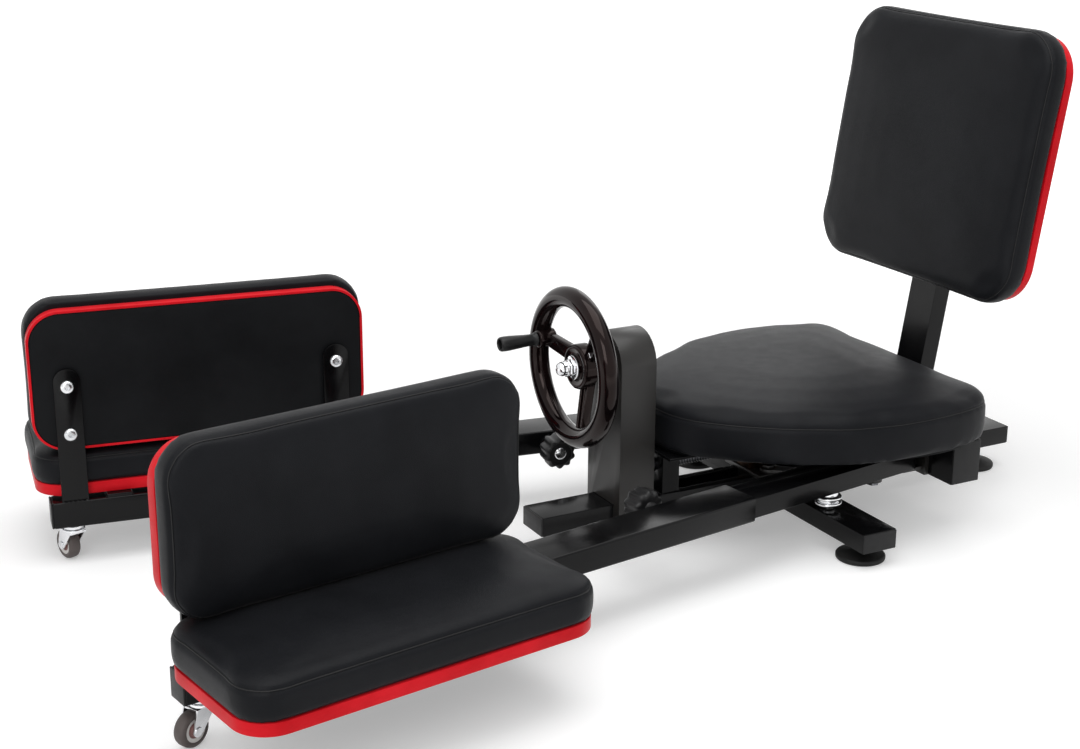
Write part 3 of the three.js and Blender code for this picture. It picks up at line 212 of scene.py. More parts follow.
def editMode(piece, select="DESELECT", mode="EDGE"):
    activate(piece)
    bpy.ops.object.mode_set(mode="EDIT")
    bpy.ops.mesh.select_mode(type=mode)
    bpy.ops.mesh.select_all(action=select)


def pick(piece, kind, wanted):
    objectMode()
    data = piece.data
    for item in (data.vertices, data.edges, data.polygons):
        item.foreach_set("select", [False] * len(item))
    count = 0
    for item in getattr(data, kind):
        if wanted(item):
            item.select = True
            count += 1
    bpy.ops.object.mode_set(mode="EDIT")
    return count


def edgeMiddle(piece, edge):
    a, b = (piece.data.vertices[i].co for i in edge.vertices)
    return (a + b) / 2, (b - a)


def fixNormals(piece):
    editMode(piece, "SELECT", "FACE")
    bpy.ops.mesh.remove_doubles(threshold=0.00001)
    bpy.ops.mesh.normals_make_consistent(inside=False)
    objectMode()


def smoothShade(piece, angle=35):
    activate(piece)
    bpy.ops.object.shade_smooth_by_angle(angle=math.radians(angle))


def dress(piece, material, body, replaced=(), angle=35, name=None):
    if material is not None:
        piece.data.materials.clear()
        piece.data.materials.append(material)
    if angle is not None:
        smoothShade(piece, angle)
    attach(piece, body)
    if replaced:
        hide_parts(*replaced)
    piece.name = name or piece.name
    return piece


def joinPieces(name, parts):
    activate(parts[0])
    for part in parts[1:]:
        part.select_set(True)
    if len(parts) > 1:
        bpy.ops.object.join()
    whole = bpy.context.view_layer.objects.active
    whole.name = name
    whole.data.name = name
    return whole


def shapedBy(piece, kind, **settings):
    modifier = piece.modifiers.new(kind.lower(), kind)
    for key, value in settings.items():
        setattr(modifier, key, value)
    activate(piece)
    bpy.ops.object.modifier_apply(modifier=modifier.name)
    return piece


def bevelAll(piece, width, segments=3, angle=30):
    return shapedBy(piece, "BEVEL", width=width, segments=segments, limit_method="ANGLE",
                    angle_limit=math.radians(angle), harden_normals=False)


def extrude(x, y, z):
    bpy.ops.mesh.extrude_region_move(TRANSFORM_OT_translate={"value": (x * mm, y * mm, z * mm)})


def newPiece(name, points, faces):
    mesh = bpy.data.meshes.new(name)
    mesh.from_pydata(points, [], faces)
    piece = bpy.data.objects.new(name, mesh)
    addToScene(piece)
    return piece


# A steel block between two corners, its edges rounded as bent or drawn steel is
def steelBox(low, high, edge=1.2, segments=3):
    low, high = Vector(low) * mm, Vector(high) * mm
    clearSelection()
    bpy.ops.mesh.primitive_cube_add(size=1, location=(low + high) / 2)
    piece = bpy.context.object
    piece.scale = high - low
    settle(piece)
    if edge:
        bevelAll(piece, edge * mm, segments)
    return piece


# A rectangular tube along Y, open at the ends, drawn with round corners
def steelTube(low, high, wall, corner=2.5, openFront=True, openRear=True, deep=12):
    piece = steelBox(low, high, 0)
    editMode(piece)
    pick(piece, "edges", lambda e: abs(edgeMiddle(piece, e)[1].normalized().y) > 0.9)
    bpy.ops.mesh.bevel(offset=corner * mm, segments=4, affect="EDGES")
    front, rear = low[1] * mm, high[1] * mm
    bpy.ops.mesh.select_mode(type="FACE")
    for opened, place, way in ((openFront, front, 1), (openRear, rear, -1)):
        if opened:
            pick(piece, "polygons", lambda f: abs(f.center.y - place) < 1e-5 and abs(f.normal.y) > 0.9)
            bpy.ops.mesh.inset(thickness=wall * mm)
            extrude(0, way * deep, 0)
    objectMode()
    return piece


# A turned piece: a round disc extruded and scaled ring by ring along Z
def turnedPiece(rings, sides, place=None):
    radius, height = rings[0]
    clearSelection()
    bpy.ops.mesh.primitive_circle_add(vertices=sides, radius=radius * mm, fill_type="NGON",
                                      location=(0, 0, height * mm))
    piece = bpy.context.object
    settle(piece)
    editMode(piece, "SELECT", "FACE")
    for nextRadius, nextHeight in rings[1:]:
        extrude(0, 0, nextHeight - height)
        if nextRadius <= 0:
            bpy.ops.mesh.merge(type="CENTER")
            break
        share = nextRadius / radius
        bpy.ops.transform.resize(value=(share, share, 1), center_override=(0, 0, nextHeight * mm))
        radius, height = nextRadius, nextHeight
    objectMode()
    fixNormals(piece)
    return piece if place is None else settle(piece, place)


def turnBy(degrees, axis):
    return Matrix.Rotation(math.radians(degrees), 4, axis)


alongFront = turnBy(90, "X")  # a height becomes a distance towards the feet, -Y


def placed(x, y, z):
    return Matrix.Translation((x * mm, y * mm, z * mm))


# A CAD node's own shape with its sharp edges rounded
def softened(node, width, segments=2, angle=30, name=None):
    clearSelection()
    piece = nodes[node].copy()
    piece.data = nodes[node].data.copy()
    piece.name = name or node + "_finish"
    piece.data.name = piece.name
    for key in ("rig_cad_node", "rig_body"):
        if key in piece:
            del piece[key]
    piece.parent = None
    piece.hide_render = piece.hide_viewport = False
    addToScene(piece)
    piece.data.materials.clear()
    editMode(piece, "SELECT", "FACE")
    bpy.ops.mesh.remove_doubles(threshold=0.00001)
    objectMode()
    if piece.data.has_custom_normals:
        activate(piece)
        bpy.ops.mesh.customdata_custom_splitnormals_clear()
    if width:
        bevelAll(piece, width * mm, segments, angle)
    return piece


# ---- places shared with the CAD part, in mm

armSides = (("left", 1), ("right", -1))
armShare = {"pivotX": 113.0, "pivotY": 377.694, "splay": 8.6}


def armMatrix(side):
    turn = turnBy(side * armShare["splay"], "Z")
    return placed(side * armShare["pivotX"], armShare["pivotY"], 0) @ turn


# ---- padded pieces

padLook = {"voxel": 0.0045, "pressure": 4.0, "frames": 20, "start": 0.2, "cap": 2.2, "even": 30, "sideways": 0.04,
           "gap": 0.3,
           "side": [(0, 0), (-1.6, 0.25), (-2, 0.6), (-1.2, 1)], "shoulder": [(1.2, 0.4), (4, 0.75), (9, 0.97)],
           "face": 16, "lift": 0.6, "dome": (0.85, 0.65, 0.4, 0.15), "headroom": 1.5, "pinned": 3,
           "pucker": 0.07, "puckerWide": 0.008, "puckerGap": 0.002, "drift": (1.7, 5), "castFrom": 0.03,
           "seamSink": 1.5, "seamWide": 3.0, "seamReach": 0.02, "threadRadius": 0.7, "threadSink": 0.75}


def roundedOutline(halfX, halfY, radius, pull, perCorner=16, perSide=90):
    points = []
    for index, (signX, signY, start) in enumerate([(1, 1, 0), (-1, 1, 90), (-1, -1, 180), (1, -1, 270)]):
        for step in range(perCorner + 1):
            angle = math.radians(start + 90 * step / perCorner)
            points.append((signX * (halfX - radius) + radius * math.cos(angle),
                           signY * (halfY - radius) + radius * math.sin(angle)))
        alongX = index % 2 == 0
        run = 2 * ((halfX if alongX else halfY) - radius)
        way = -1 if index < 2 else 1
        fromX, fromY = points[-1]
        normal = (0, 1) if index == 0 else (-1, 0) if index == 1 else (0, -1) if index == 2 else (1, 0)
        for step in range(1, perSide):
            share = step / perSide
            shift = way * run * share
            inward = pull * math.sin(math.pi * share)
            points.append((fromX + (shift if alongX else 0) - normal[0] * inward,
                           fromY + (0 if alongX else shift) - normal[1] * inward))
    return np.array(points) * mm


def outlineNormals(outline):
    tangent = np.roll(outline, -1, 0) - np.roll(outline, 1, 0)
    normal = np.stack([tangent[:, 1], -tangent[:, 0]], 1)
    return normal / np.linalg.norm(normal, axis=1)[:, None]


def insetOutline(outline, inset):
    return outline - outlineNormals(outline) * inset * mm


# The seat's plan, read once round: from its narrow front over the left flank to the rear, then back on the right
def seatOutline(count=440):
    length = seat["rear"] - seat["front"]
    half = [(x * seat["halfWidth"], seat["front"] + y * length) for x, y in seatPlan]
    closed = np.array(half + [(-x, y) for x, y in reversed(half[1:-1])])
    around = np.vstack([closed, closed[:1]])
    steps = np.concatenate([[0], np.cumsum(np.linalg.norm(np.diff(around, axis=0), axis=1))])
    places = np.linspace(0, steps[-1], count, endpoint=False)
    smooth = np.stack([np.interp(places, steps, around[:, k]) for k in (0, 1)], 1)
    for _ in range(36):
        smooth = (np.roll(smooth, 1, 0) + 2 * smooth + np.roll(smooth, -1, 0)) / 4
    return smooth * mm


def ringMesh(name, rings):
    count = len(rings[0])
    points = [tuple(p) for ring in rings for p in ring]
    faces = []
    for ring in range(len(rings) - 1):
        for step in range(count):
            a, b = ring * count + step, ring * count + (step + 1) % count
            faces.append((a, b, b + count, a + count))
    faces.append(tuple(reversed(range(count))))
    faces.append(tuple(range(len(points) - count, len(points))))
    return newPiece(name, points, faces)


def pointsOf(mesh):
    return np.array([v.co for v in mesh.vertices])


def movePoints(mesh, points):
    mesh.vertices.foreach_set("co", points.astype(np.float32).ravel())


# A field over the mesh, each point drawn to the mean of its neighbours
def evened(piece, field):
    edges = np.array([e.vertices[:] for e in piece.data.edges])
    both = np.concatenate([edges, edges[:, ::-1]])
    count = np.bincount(both[:, 0], minlength=len(field))[:, None]
    for _ in range(padLook["even"]):
        total = [np.bincount(both[:, 0], weights=field[both[:, 1], k], minlength=len(field)) for k in range(3)]
        field = 0.5 * field + 0.5 * np.stack(total, 1) / np.maximum(count, 1)
    return field


# One stuffed pad with its board side at z = 0: a cut cover, swollen by cloth pressure, evened, then its seam
def stuffedPad(name, outline, pad, matrix, body, replaced):
    thick, crown, seamZ = pad["thick"], pad["crown"], pad["seamZ"]
    start = padLook["start"]
    rise = thick - seamZ
    lift = padLook["lift"]
    profile = [(start + inset, seamZ * share) for inset, share in padLook["side"]]
    profile += [(start + inset, seamZ + rise * share) for inset, share in padLook["shoulder"]]
    profile.append((start + padLook["face"], thick + lift))
    rings = []
    for inset, height in profile:
        ring = insetOutline(outline, inset)
        rings.append(np.column_stack([ring, np.full(len(ring), height * mm)]))
    middle = outline.mean(0)
    faceEdge = rings[-1][:, :2]
    for share in padLook["dome"]:
        ring = middle + (faceEdge - middle) * share
        dome = lift + (crown - lift) * (1 - share ** 3)
        rings.append(np.column_stack([ring, np.full(len(ring), (thick + dome) * mm)]))
    piece = ringMesh(name, rings)
    shapedBy(piece, "REMESH", mode="VOXEL", voxel_size=padLook["voxel"])
    before = pointsOf(piece.data)
    pinned = piece.vertex_groups.new(name="board")
    pinned.add([int(i) for i in np.nonzero(before[:, 2] < padLook["pinned"] * mm)[0]], 1.0, "REPLACE")
    cloth = piece.modifiers.new("cloth", "CLOTH")
    cloth.settings.quality = 4
    cloth.settings.use_pressure = True
    cloth.settings.uniform_pressure_force = padLook["pressure"]
    cloth.settings.effector_weights.gravity = 0
    cloth.settings.vertex_group_mass = "board"
    cloth.collision_settings.use_collision = False
    cloth.point_cache.frame_start, cloth.point_cache.frame_end = 1, padLook["frames"]
    for step in range(1, padLook["frames"] + 1):
        bpy.context.scene.frame_set(step)
    swollen = piece.evaluated_get(bpy.context.evaluated_depsgraph_get()).to_mesh()
    after = pointsOf(swollen)
    piece.modifiers.remove(cloth)
    piece.vertex_groups.clear()
    bpy.context.scene.frame_set(1)
    move = evened(piece, after - before) * (padLook["sideways"], padLook["sideways"], 1)
    length = np.linalg.norm(move, axis=1)
    cap = padLook["cap"] * mm
    move *= (np.minimum(length, cap) / np.maximum(length, 1e-9))[:, None]
    shape = before + move
    shape[:, 2] = np.clip(shape[:, 2], 0, (thick + crown + padLook["headroom"]) * mm)
    movePoints(piece.data, shape)
    shapedBy(piece, "SMOOTH", factor=0.5, iterations=3)
    flat = pointsOf(piece.data)
    flat[before[:, 2] < 1 * mm, 2] = 0
    movePoints(piece.data, flat)
    shapedBy(piece, "SUBSURF", levels=1, render_levels=1)
    seam = seamPath(piece, outline, seamZ)
    sinkSeam(piece, seam, pad)
    settle(piece, matrix)
    dress(piece, blackLeather, body, replaced, None)
    piece.data.shade_smooth()
    # The seam's thread, darker than the leather as painted shade of the seam's gap
    welt = seamWelt(name + "_seam", seam, matrix)
    dress(welt, seamThreadWithPaintedGapShade, body, (), 60)
    print("padded", name, len(piece.data.polygons))
    return piece


# The seam runs round the side where the top panel meets the boxing strip
def seamPath(piece, outline, seamZ):
    tree = BVHTree.FromPolygons([v.co for v in piece.data.vertices], [p.vertices for p in piece.data.polygons])
    middle = outline.mean(0)
    normals = outlineNormals(outline)
    path = []
    for point, normal in zip(outline, normals):
        start = Vector((*(point + normal * padLook["castFrom"]), seamZ * mm))
        hit = tree.ray_cast(start, Vector((-normal[0], -normal[1], 0)))
        if hit[0] is not None:
            path.append((hit[0], Vector((normal[0], normal[1], 0))))
    return path


def sinkSeam(piece, seam, pad):
    count = len(seam)
    tree = KDTree(count)
    for index, (point, _) in enumerate(seam):
        tree.insert(point, index)
    tree.balance()
    mesh = piece.data
    wide, sink = padLook["seamWide"] * mm, padLook["seamSink"] * mm
    lobes, deep = pad["puckers"], padLook["pucker"] * mm
    drift, waves = padLook["drift"]
    normals = np.array([v.normal for v in mesh.vertices])
    coords = pointsOf(mesh)
    for index, co in enumerate(coords):
        nearest, distance = tree.find(co)[1:]
        if distance > padLook["seamReach"]:
            continue
        groove = sink * math.exp(-(distance / wide) ** 2)
        share = nearest / count
        pucker = deep * math.sin(2 * math.pi * lobes * share + drift * math.sin(2 * math.pi * waves * share))
        pucker *= math.exp(-(distance / padLook["puckerWide"]) ** 2)
        pucker *= 1 - math.exp(-(distance / padLook["puckerGap"]) ** 2)
        coords[index] = co + normals[index] * (pucker - groove)
    movePoints(mesh, coords)
    mesh.update()


def sweptTube(path, radius, sides=8):
    count = len(path)
    points, faces = [], []
    centres = [p for p, _ in path]
    for index, (centre, outward) in enumerate(path):
        ahead = (centres[(index + 1) % count] - centres[index - 1]).normalized()
        up = ahead.cross(outward).normalized()
        side = up.cross(ahead)
        for step in range(sides):
            angle = 2 * math.pi * step / sides
            points.append(centre + (side * math.cos(angle) + up * math.sin(angle)) * radius)
    for index in range(count):
        for step in range(sides):
            a, b = index * sides + step, index * sides + (step + 1) % sides
            c, d = ((index + 1) % count) * sides + step, ((index + 1) % count) * sides + (step + 1) % sides
            faces.append((a, b, d, c))
    return points, faces


# The thread of the closed seam, most of it sunk in the groove; its near-black colour is partly the thread's own and
# partly painted shade of the seam's gap
def seamWelt(name, seam, matrix):
    sunk = [(p - n * padLook["seamSink"] * padLook["threadSink"] * mm, n) for p, n in seam]
    points, faces = sweptTube(sunk, padLook["threadRadius"] * mm)
    piece = newPiece(name, [tuple(p) for p in points], faces)
    fixNormals(piece)
    return settle(piece, matrix)


def edgeDistance(point, halfX, halfY, radius):
    across = max(abs(point.x) - (halfX - radius), 0)
    along = max(abs(point.y) - (halfY - radius), 0)
    if across > 0 and along > 0:
        return radius - math.hypot(across, along)
    return min(halfX - abs(point.x), halfY - abs(point.y))


# The red cover turns over the board's edge, rim wide, and a black panel in a groove backs it
boardLook = {"segments": 18, "rim": 3.2, "groove": 1.0, "grooveDeep": 1.4, "edge": 1.6, "panelTo": 2.2, "panelGap": 3.1}


def wrappedBoard(name, halfX, halfY, pad, matrix, body, replaced):
    radius, thick = pad["radius"], pad["board"]
    side, bottom, top = pad["trim"]
    halfX, halfY = halfX - side, halfY - (bottom + top) / 2
    clearSelection()
    bpy.ops.mesh.primitive_cube_add(size=1, location=(0, 0, thick / 2 * mm))
    piece = bpy.context.object
    piece.name = name
    piece.scale = (2 * halfX * mm, 2 * halfY * mm, thick * mm)
    settle(piece)
    editMode(piece)
    pick(piece, "edges", lambda e: abs(edgeMiddle(piece, e)[1].normalized().z) > 0.9)
    bpy.ops.mesh.bevel(offset=radius * mm, segments=boardLook["segments"], affect="EDGES")
    bpy.ops.mesh.select_mode(type="FACE")
    pick(piece, "polygons", lambda f: f.normal.z < -0.9)
    for inset, way in ((boardLook["rim"], 1), (boardLook["groove"], -1)):
        bpy.ops.mesh.inset(thickness=inset * mm)
        extrude(0, 0, way * boardLook["grooveDeep"])
    objectMode()
    piece.data.materials.append(redLeather)
    piece.data.materials.append(backVinyl)
    for face in piece.data.polygons:
        edgeGap = edgeDistance(face.center, halfX * mm, halfY * mm, radius * mm)
        if face.center.z < boardLook["panelTo"] * mm and edgeGap > boardLook["panelGap"] * mm:
            face.material_index = 1
    bevelAll(piece, boardLook["edge"] * mm, 3, 50)
    settle(piece, matrix @ placed(0, (bottom - top) / 2, 0))
    return dress(piece, None, body, replaced, 40)


legRest = {"rear": 621, "front": 1032, "inner": -16, "outer": 172, "bottom": 87.8, "board": 14, "thick": 38,
           "crown": 8.5, "seamZ": 32, "radius": 40, "pull": 0.8, "fill": 0.8, "puckers": 60, "trim": (0.6, 0.6, 0.6)}
sidePad = {"rear": 623, "front": 1032, "bottom": 146.8, "top": 330.8, "plane": -20, "board": 15, "thick": 34,
           "crown": 8, "seamZ": 28, "radius": 40, "pull": 0.8, "fill": 0.8, "puckers": 60, "trim": (0.8, 1.5, 8.5)}
backRest = {"width": 387, "height": 342, "bottom": 290, "board": 11, "thick": 32, "crown": 8, "base": 461.694,
            "beamTop": 60, "lean": 9, "seamZ": 24.5, "radius": 52, "pull": 1.2,
            "fill": 0.8, "puckers": 70, "trim": (0.8, 3, 4.5)}
seat = {"underside": 126.5, "thick": 59, "crown": 14, "seamZ": 46, "fill": 0.75, "puckers": 70,
        "front": 66.7, "rear": 471.7, "halfWidth": 205}
seatPlan = [(0, 0), (0.2, 0.006), (0.38, 0.045), (0.56, 0.13), (0.76, 0.26), (0.93, 0.42), (1, 0.57), (1.01, 0.7),
            (0.985, 0.83), (0.95, 0.91), (0.9, 0.965), (0.8, 0.993), (0.5, 1), (0.2, 1), (0, 1)]


# A wrapped board and the cushion on it, just clear of each other; the names are of both pieces and their nodes
def paddedBoard(names, halfX, halfY, pad, place, body):
    band, board, cover, cushion = names
    wrappedBoard(band, halfX, halfY, pad, place, body, [board])
    outline = roundedOutline(halfX, halfY, pad["radius"], pad["pull"])
    stuffedPad(cover, outline, pad, place @ placed(0, 0, pad["board"] + padLook["gap"]), body, [cushion])


for label, side in armSides:
    names = [name + label for name in ("leg_band_", "leg_board_", "leg_rest_", "leg_cushion_")]
    rear, front, inner, outer = (legRest[key] for key in ("rear", "front", "inner", "outer"))
    place = armMatrix(side) @ placed(side * (outer + inner) / 2, -(front + rear) / 2, legRest["bottom"])
    paddedBoard(names, (outer - inner) / 2, (front - rear) / 2, legRest, place, "leg_" + label)

    names = [name + label for name in ("pad_band_", "pad_board_", "side_pad_", "pad_cushion_")]
    rear, front, bottom, top = (sidePad[key] for key in ("rear", "front", "bottom", "top"))
    place = armMatrix(side) @ placed(side * sidePad["plane"], -(front + rear) / 2, (top + bottom) / 2)
    place = place @ turnBy(side * 90, "Z") @ alongFront
    paddedBoard(names, (front - rear) / 2, (top - bottom) / 2, sidePad, place, "leg_" + label)

lean = math.radians(backRest["lean"])
backMiddle = (backRest["bottom"] - backRest["beamTop"]) / math.cos(lean) + backRest["height"] / 2
leaning = placed(0, backRest["base"], backRest["beamTop"]) @ Matrix.Rotation(-lean, 4, "X")
paddedBoard(("back_band", "back_board", "backrest_pad", "back_cushion"), backRest["width"] / 2, backRest["height"] / 2,
            backRest, leaning @ placed(0, -padLook["gap"], backMiddle) @ alongFront, "frame")

stuffedPad("seat_pad", seatOutline(), seat, placed(0, 0, seat["underside"]), "frame", ["seat_cushion"])
dress(softened("seat_board", 1.0), backVinyl, "frame", ["seat_board"])
print("upholstery ready")


# ---- base and column

plainSteel = {"main_beam": 1.0, "cross_bar": 1.0, "rear_cross_tube": 1.2, "seat_post": 1.0, "back_post": 1.5}
for node, edge in plainSteel.items():
    dress(softened(node, edge, 3), glossSteel, "frame", [node])
# Column, yoke, end block, crosshead and links wear the satin coat, whose lighter warm base colour is painted sheen
for node, edge in {"column_housing": 0.9, "pivot_yoke": 0.6, "screw_end_block": 0.8}.items():
    dress(softened(node, edge, 2), satinSteelWithPaintedSheen, "frame", [node])
dress(softened("crosshead", 0.6), satinSteelWithPaintedSheen, "nut_carriage", ["crosshead"])
dress(softened("screw_nut", 0.8), nutBronze, "nut_carriage", ["screw_nut"])
for label in ("left", "right"):
    dress(softened("link_" + label, 0.6), satinSteelWithPaintedSheen, "link_" + label, ["link_" + label])
    dress(softened("arm_tube_" + label, 1.2, 3), glossSteel, "arm_" + label, ["arm_tube_" + label])
for node, material in {"shaft_bush_front": oiledSteel, "shaft_bush_rear": oiledSteel, "screw_bush_front": oiledSteel,
                       "upper_sprocket": chainSteel, "lower_sprocket": chainSteel, "drive_chain": chainSteel,
                       "wheel_shaft": oiledSteel, "crank_pin": chrome, "link_bolt_left": oiledSteel,
                       "link_bolt_right": oiledSteel, "pivot_pin_left": zincBright,
                       "pivot_pin_right": zincBright}.items():
    nodes[node].data.materials.clear()
    nodes[node].data.materials.append(material)
print("frame ready")


# ---- handwheel

wheel = {"y": -44.3, "z": 240, "radius": 100, "rim": 26, "rimDeep": 25, "hubRear": 12.3, "crank": 73, "bossFrom": 32.3,
         "spokeFrom": 11, "spokeTo": 87, "spokeY": -22.3, "spokeWide": 21, "spokeThick": 11, "ribWide": 3.6,
         "pocket": 5.5, "taper": 0.72, "pocketTaper": 0.86, "edge": 1.6, "plain": 165, "ribbed": (285, 45),
         "hub": [(17.5, 0), (19, 1.5), (19, 7), (21, 9), (26, 10), (28, 12), (28, 26.5), (27, 28.8), (25, 29.8),
                 (22.5, 29.6), (19.5, 28.4), (17.6, 28.2), (16.6, 29.2), (16, 30), (9, 30)],
         "boss": [(9.5, 0), (11.5, 1.5), (11.5, 22), (10.5, 23.6), (9.5, 24)]}
wheelCentre = placed(0, 0, wheel["z"])


# Out along the plain spoke, where the crank handle stands
def onCrank(distance):
    turn = math.radians(wheel["plain"])
    reach = wheel["crank"]
    return wheelCentre @ placed(reach * math.cos(turn), -distance, reach * math.sin(turn)) @ alongFront


def wheelRim():
    clearSelection()
    bpy.ops.mesh.primitive_torus_add(major_radius=(wheel["radius"] - wheel["rim"] / 2) * mm,
                                     minor_radius=wheel["rim"] / 2 * mm, major_segments=144, minor_segments=40)
    rim = bpy.context.object
    rim.scale = (1, 1, wheel["rimDeep"] / wheel["rim"])
    settle(rim)
    return settle(rim, wheelCentre @ placed(0, wheel["y"], 0) @ alongFront)


# Two spokes are channels with a rib along each edge, and the third is a plain broad bar with the handle's boss
def wheelSpoke(angle, ribbed):
    length = math.hypot(wheel["spokeTo"] - wheel["spokeFrom"], wheel["y"] - wheel["spokeY"])
    lean = math.atan2(wheel["y"] - wheel["spokeY"], wheel["spokeTo"] - wheel["spokeFrom"])
    half, thick = wheel["spokeWide"] / 2, wheel["spokeThick"] / 2
    spoke = steelBox((0, -thick, -half), (length, thick, half), 0)
    editMode(spoke, "DESELECT", "FACE")
    pick(spoke, "polygons", lambda f: f.normal.x > 0.9)
    bpy.ops.transform.resize(value=(1, 1, wheel["taper"]), center_override=(length * mm, 0, 0))
    pick(spoke, "polygons", lambda f: f.normal.y < -0.9)
    if ribbed:
        bpy.ops.mesh.inset(thickness=wheel["ribWide"] * mm)
        extrude(0, wheel["pocket"], 0)
        bpy.ops.transform.resize(value=(1, 1, wheel["pocketTaper"]), center_override=(length / 2 * mm, 0, 0))
    objectMode()
    bevelAll(spoke, wheel["edge"] * mm, 4)
    place = placed(wheel["spokeFrom"], wheel["spokeY"], 0) @ Matrix.Rotation(lean, 4, "Z")
    return settle(spoke, wheelCentre @ turnBy(-angle, "Y") @ place)


def wheelHub():
    return turnedPiece(wheel["hub"], 72, wheelCentre @ placed(0, -wheel["hubRear"], 0) @ alongFront)


def handleBoss():
    return turnedPiece(wheel["boss"], 40, onCrank(wheel["bossFrom"]))


spokes = [wheelSpoke(wheel["plain"], False)] + [wheelSpoke(angle, True) for angle in wheel["ribbed"]]
whole = joinPieces("phenolic_handwheel", [wheelRim(), wheelHub(), handleBoss()] + spokes)
# The handwheel's gloss carries the painted warm reflection tint
dress(whole, wheelResinWithPaintedReflection, "handwheel", ["handwheel"], 40)

setScrew = {"half": 3.4, "long": 6.5, "edge": 0.7, "turn": 50, "ahead": 32, "out": 26.5}
half = setScrew["half"]
screwHead = steelBox((-half, -half, 0), (half, half, setScrew["long"]), setScrew["edge"])
turn = turnBy(setScrew["turn"], "Y")
settle(screwHead, wheelCentre @ placed(0, -setScrew["ahead"], 0) @ turn @ placed(0, 0, setScrew["out"]))
dress(screwHead, chrome, "handwheel", (), 40, "hub_set_screw")

acorn = {"start": 42.9, "washer": [(14, 0), (15, 0.5), (15, 2.0), (14.3, 2.5)], "hex": [(11, 2.5), (11, 11.5)],
         "edge": 0.7, "collar": [(9.8, 11.1), (9.4, 11.9), (9, 12.3), (8.9, 15.5)], "domeRadius": 8.9, "domeFrom": 15.5,
         "domeRise": 9, "domeSteps": 7, "tip": 24.5}


def acornNut():
    nut = bevelAll(turnedPiece(acorn["hex"], 6), acorn["edge"] * mm, 2)
    rings = list(acorn["collar"])
    for step in range(1, acorn["domeSteps"]):
        angle = math.radians(90 * step / acorn["domeSteps"])
        rings.append((acorn["domeRadius"] * math.cos(angle), acorn["domeFrom"] + acorn["domeRise"] * math.sin(angle)))
    rings.append((0, acorn["tip"]))
    parts = [turnedPiece(acorn["washer"], 48), nut, turnedPiece(rings, 40)]
    return settle(joinPieces("acorn_nut", parts), wheelCentre @ placed(0, -acorn["start"], 0) @ alongFront)


dress(acornNut(), chrome, "handwheel", ["wheel_nut"], 40)

grip = {"root": 56.6,
        "rings": [(7, 0), (9, 1.2), (9, 2.6), (7.6, 4), (7.4, 9), (7.7, 17), (8.5, 28), (9.3, 39), (9.4, 46),
                  (9.1, 50), (8.3, 51.6), (7.4, 52), (6.6, 51.4), (6.2, 50), (6.0, 47), (4.6, 46.6)]}
handle = turnedPiece(grip["rings"], 40, onCrank(grip["root"]))
dress(handle, blackAbs, "crank_handle", ["crank_handle"], 45)
print("handwheel ready")


# ---- lead screw

leadThread = {"radius": 8, "root": 6.4, "lead": 12, "starts": 3, "from": 57, "turns": 26, "z": 93.95,
              "front": 10.7, "rear": 399.6, "crest": 0.3, "flank": 0.2, "journal": 7.8, "neck": 6.8, "runOut": 6.6}


def threadedScrew():
    clearSelection()
    bpy.ops.mesh.primitive_plane_add(size=0.001, location=(0, 0, 0))
    thread = bpy.context.object
    editMode(thread, "SELECT", "VERT")
    bpy.ops.mesh.merge(type="CENTER")
    bpy.ops.transform.translate(value=(leadThread["root"] * mm, 0, 0))
    pitch = leadThread["lead"] / leadThread["starts"]
    rise = leadThread["radius"] - leadThread["root"]
    for start in range(leadThread["starts"]):
        crest, flank = leadThread["crest"], leadThread["flank"]
        for across, along in ((rise, crest), (0, flank), (-rise, crest), (0, flank)):
            bpy.ops.mesh.extrude_vertices_move(TRANSFORM_OT_translate={"value": (across * mm, 0, along * pitch * mm)})
    objectMode()
    shapedBy(thread, "SCREW", axis="Z", steps=20, render_steps=20, iterations=leadThread["turns"],
             screw_offset=leadThread["lead"] * mm, use_merge_vertices=True)
    fixNormals(thread)
    end = leadThread["from"] + leadThread["lead"] * leadThread["turns"]
    journal, neck, runOut = leadThread["journal"], leadThread["neck"], leadThread["runOut"]
    begin, first, last = leadThread["from"], leadThread["front"], leadThread["rear"]
    front = turnedPiece([(neck, first), (journal, first + 1), (journal, begin), (runOut, begin + 2)], 32)
    rear = turnedPiece([(runOut, end), (journal, end + 3), (journal, last - 1), (neck, last)], 32)
    settle(thread, placed(0, 0, begin))
    piece = joinPieces("threaded_lead_screw", [thread, front, rear])
    toRear = turnBy(-90, "X")
    return settle(piece, placed(0, 0, leadThread["z"]) @ toRear)


dress(threadedScrew(), oiledSteel, "lead_screw", ["lead_screw"], 50)
print("lead screw ready")


# ---- feet, thrust stops, knobs

footLook = {"places": {"front": (0, -23.306, 35), "rear": (0, 605.694, 35), "left": (190, 263.694, 22),
                       "right": (-190, 263.694, 22)},
            "sole": [(28.6, 0), (30.4, 0.8), (31, 2.2), (31, 5.2), (30.2, 6.4), (28.4, 7), (26, 7.4), (22, 8.6),
                     (16, 10.4), (12.5, 11.6), (10.6, 12.4), (9.6, 13.6), (9, 15)],
            "neck": [(8.6, 14.8), (9.3, 15.4)], "underBar": [(9.3, -4.4), (8.4, -3.8), (8.4, -0.3)]}


def levelFoot(x, y, bar):
    neck = footLook["neck"] + [(radius, bar + height) for radius, height in footLook["underBar"]]
    return settle(joinPieces("foot", [turnedPiece(footLook["sole"], 64), turnedPiece(neck, 40)]), placed(x, y, 0))


for label, place in footLook["places"].items():
    dress(levelFoot(*place), footRubber, "frame", ["foot_" + label], 45, "levelling_foot_" + label)

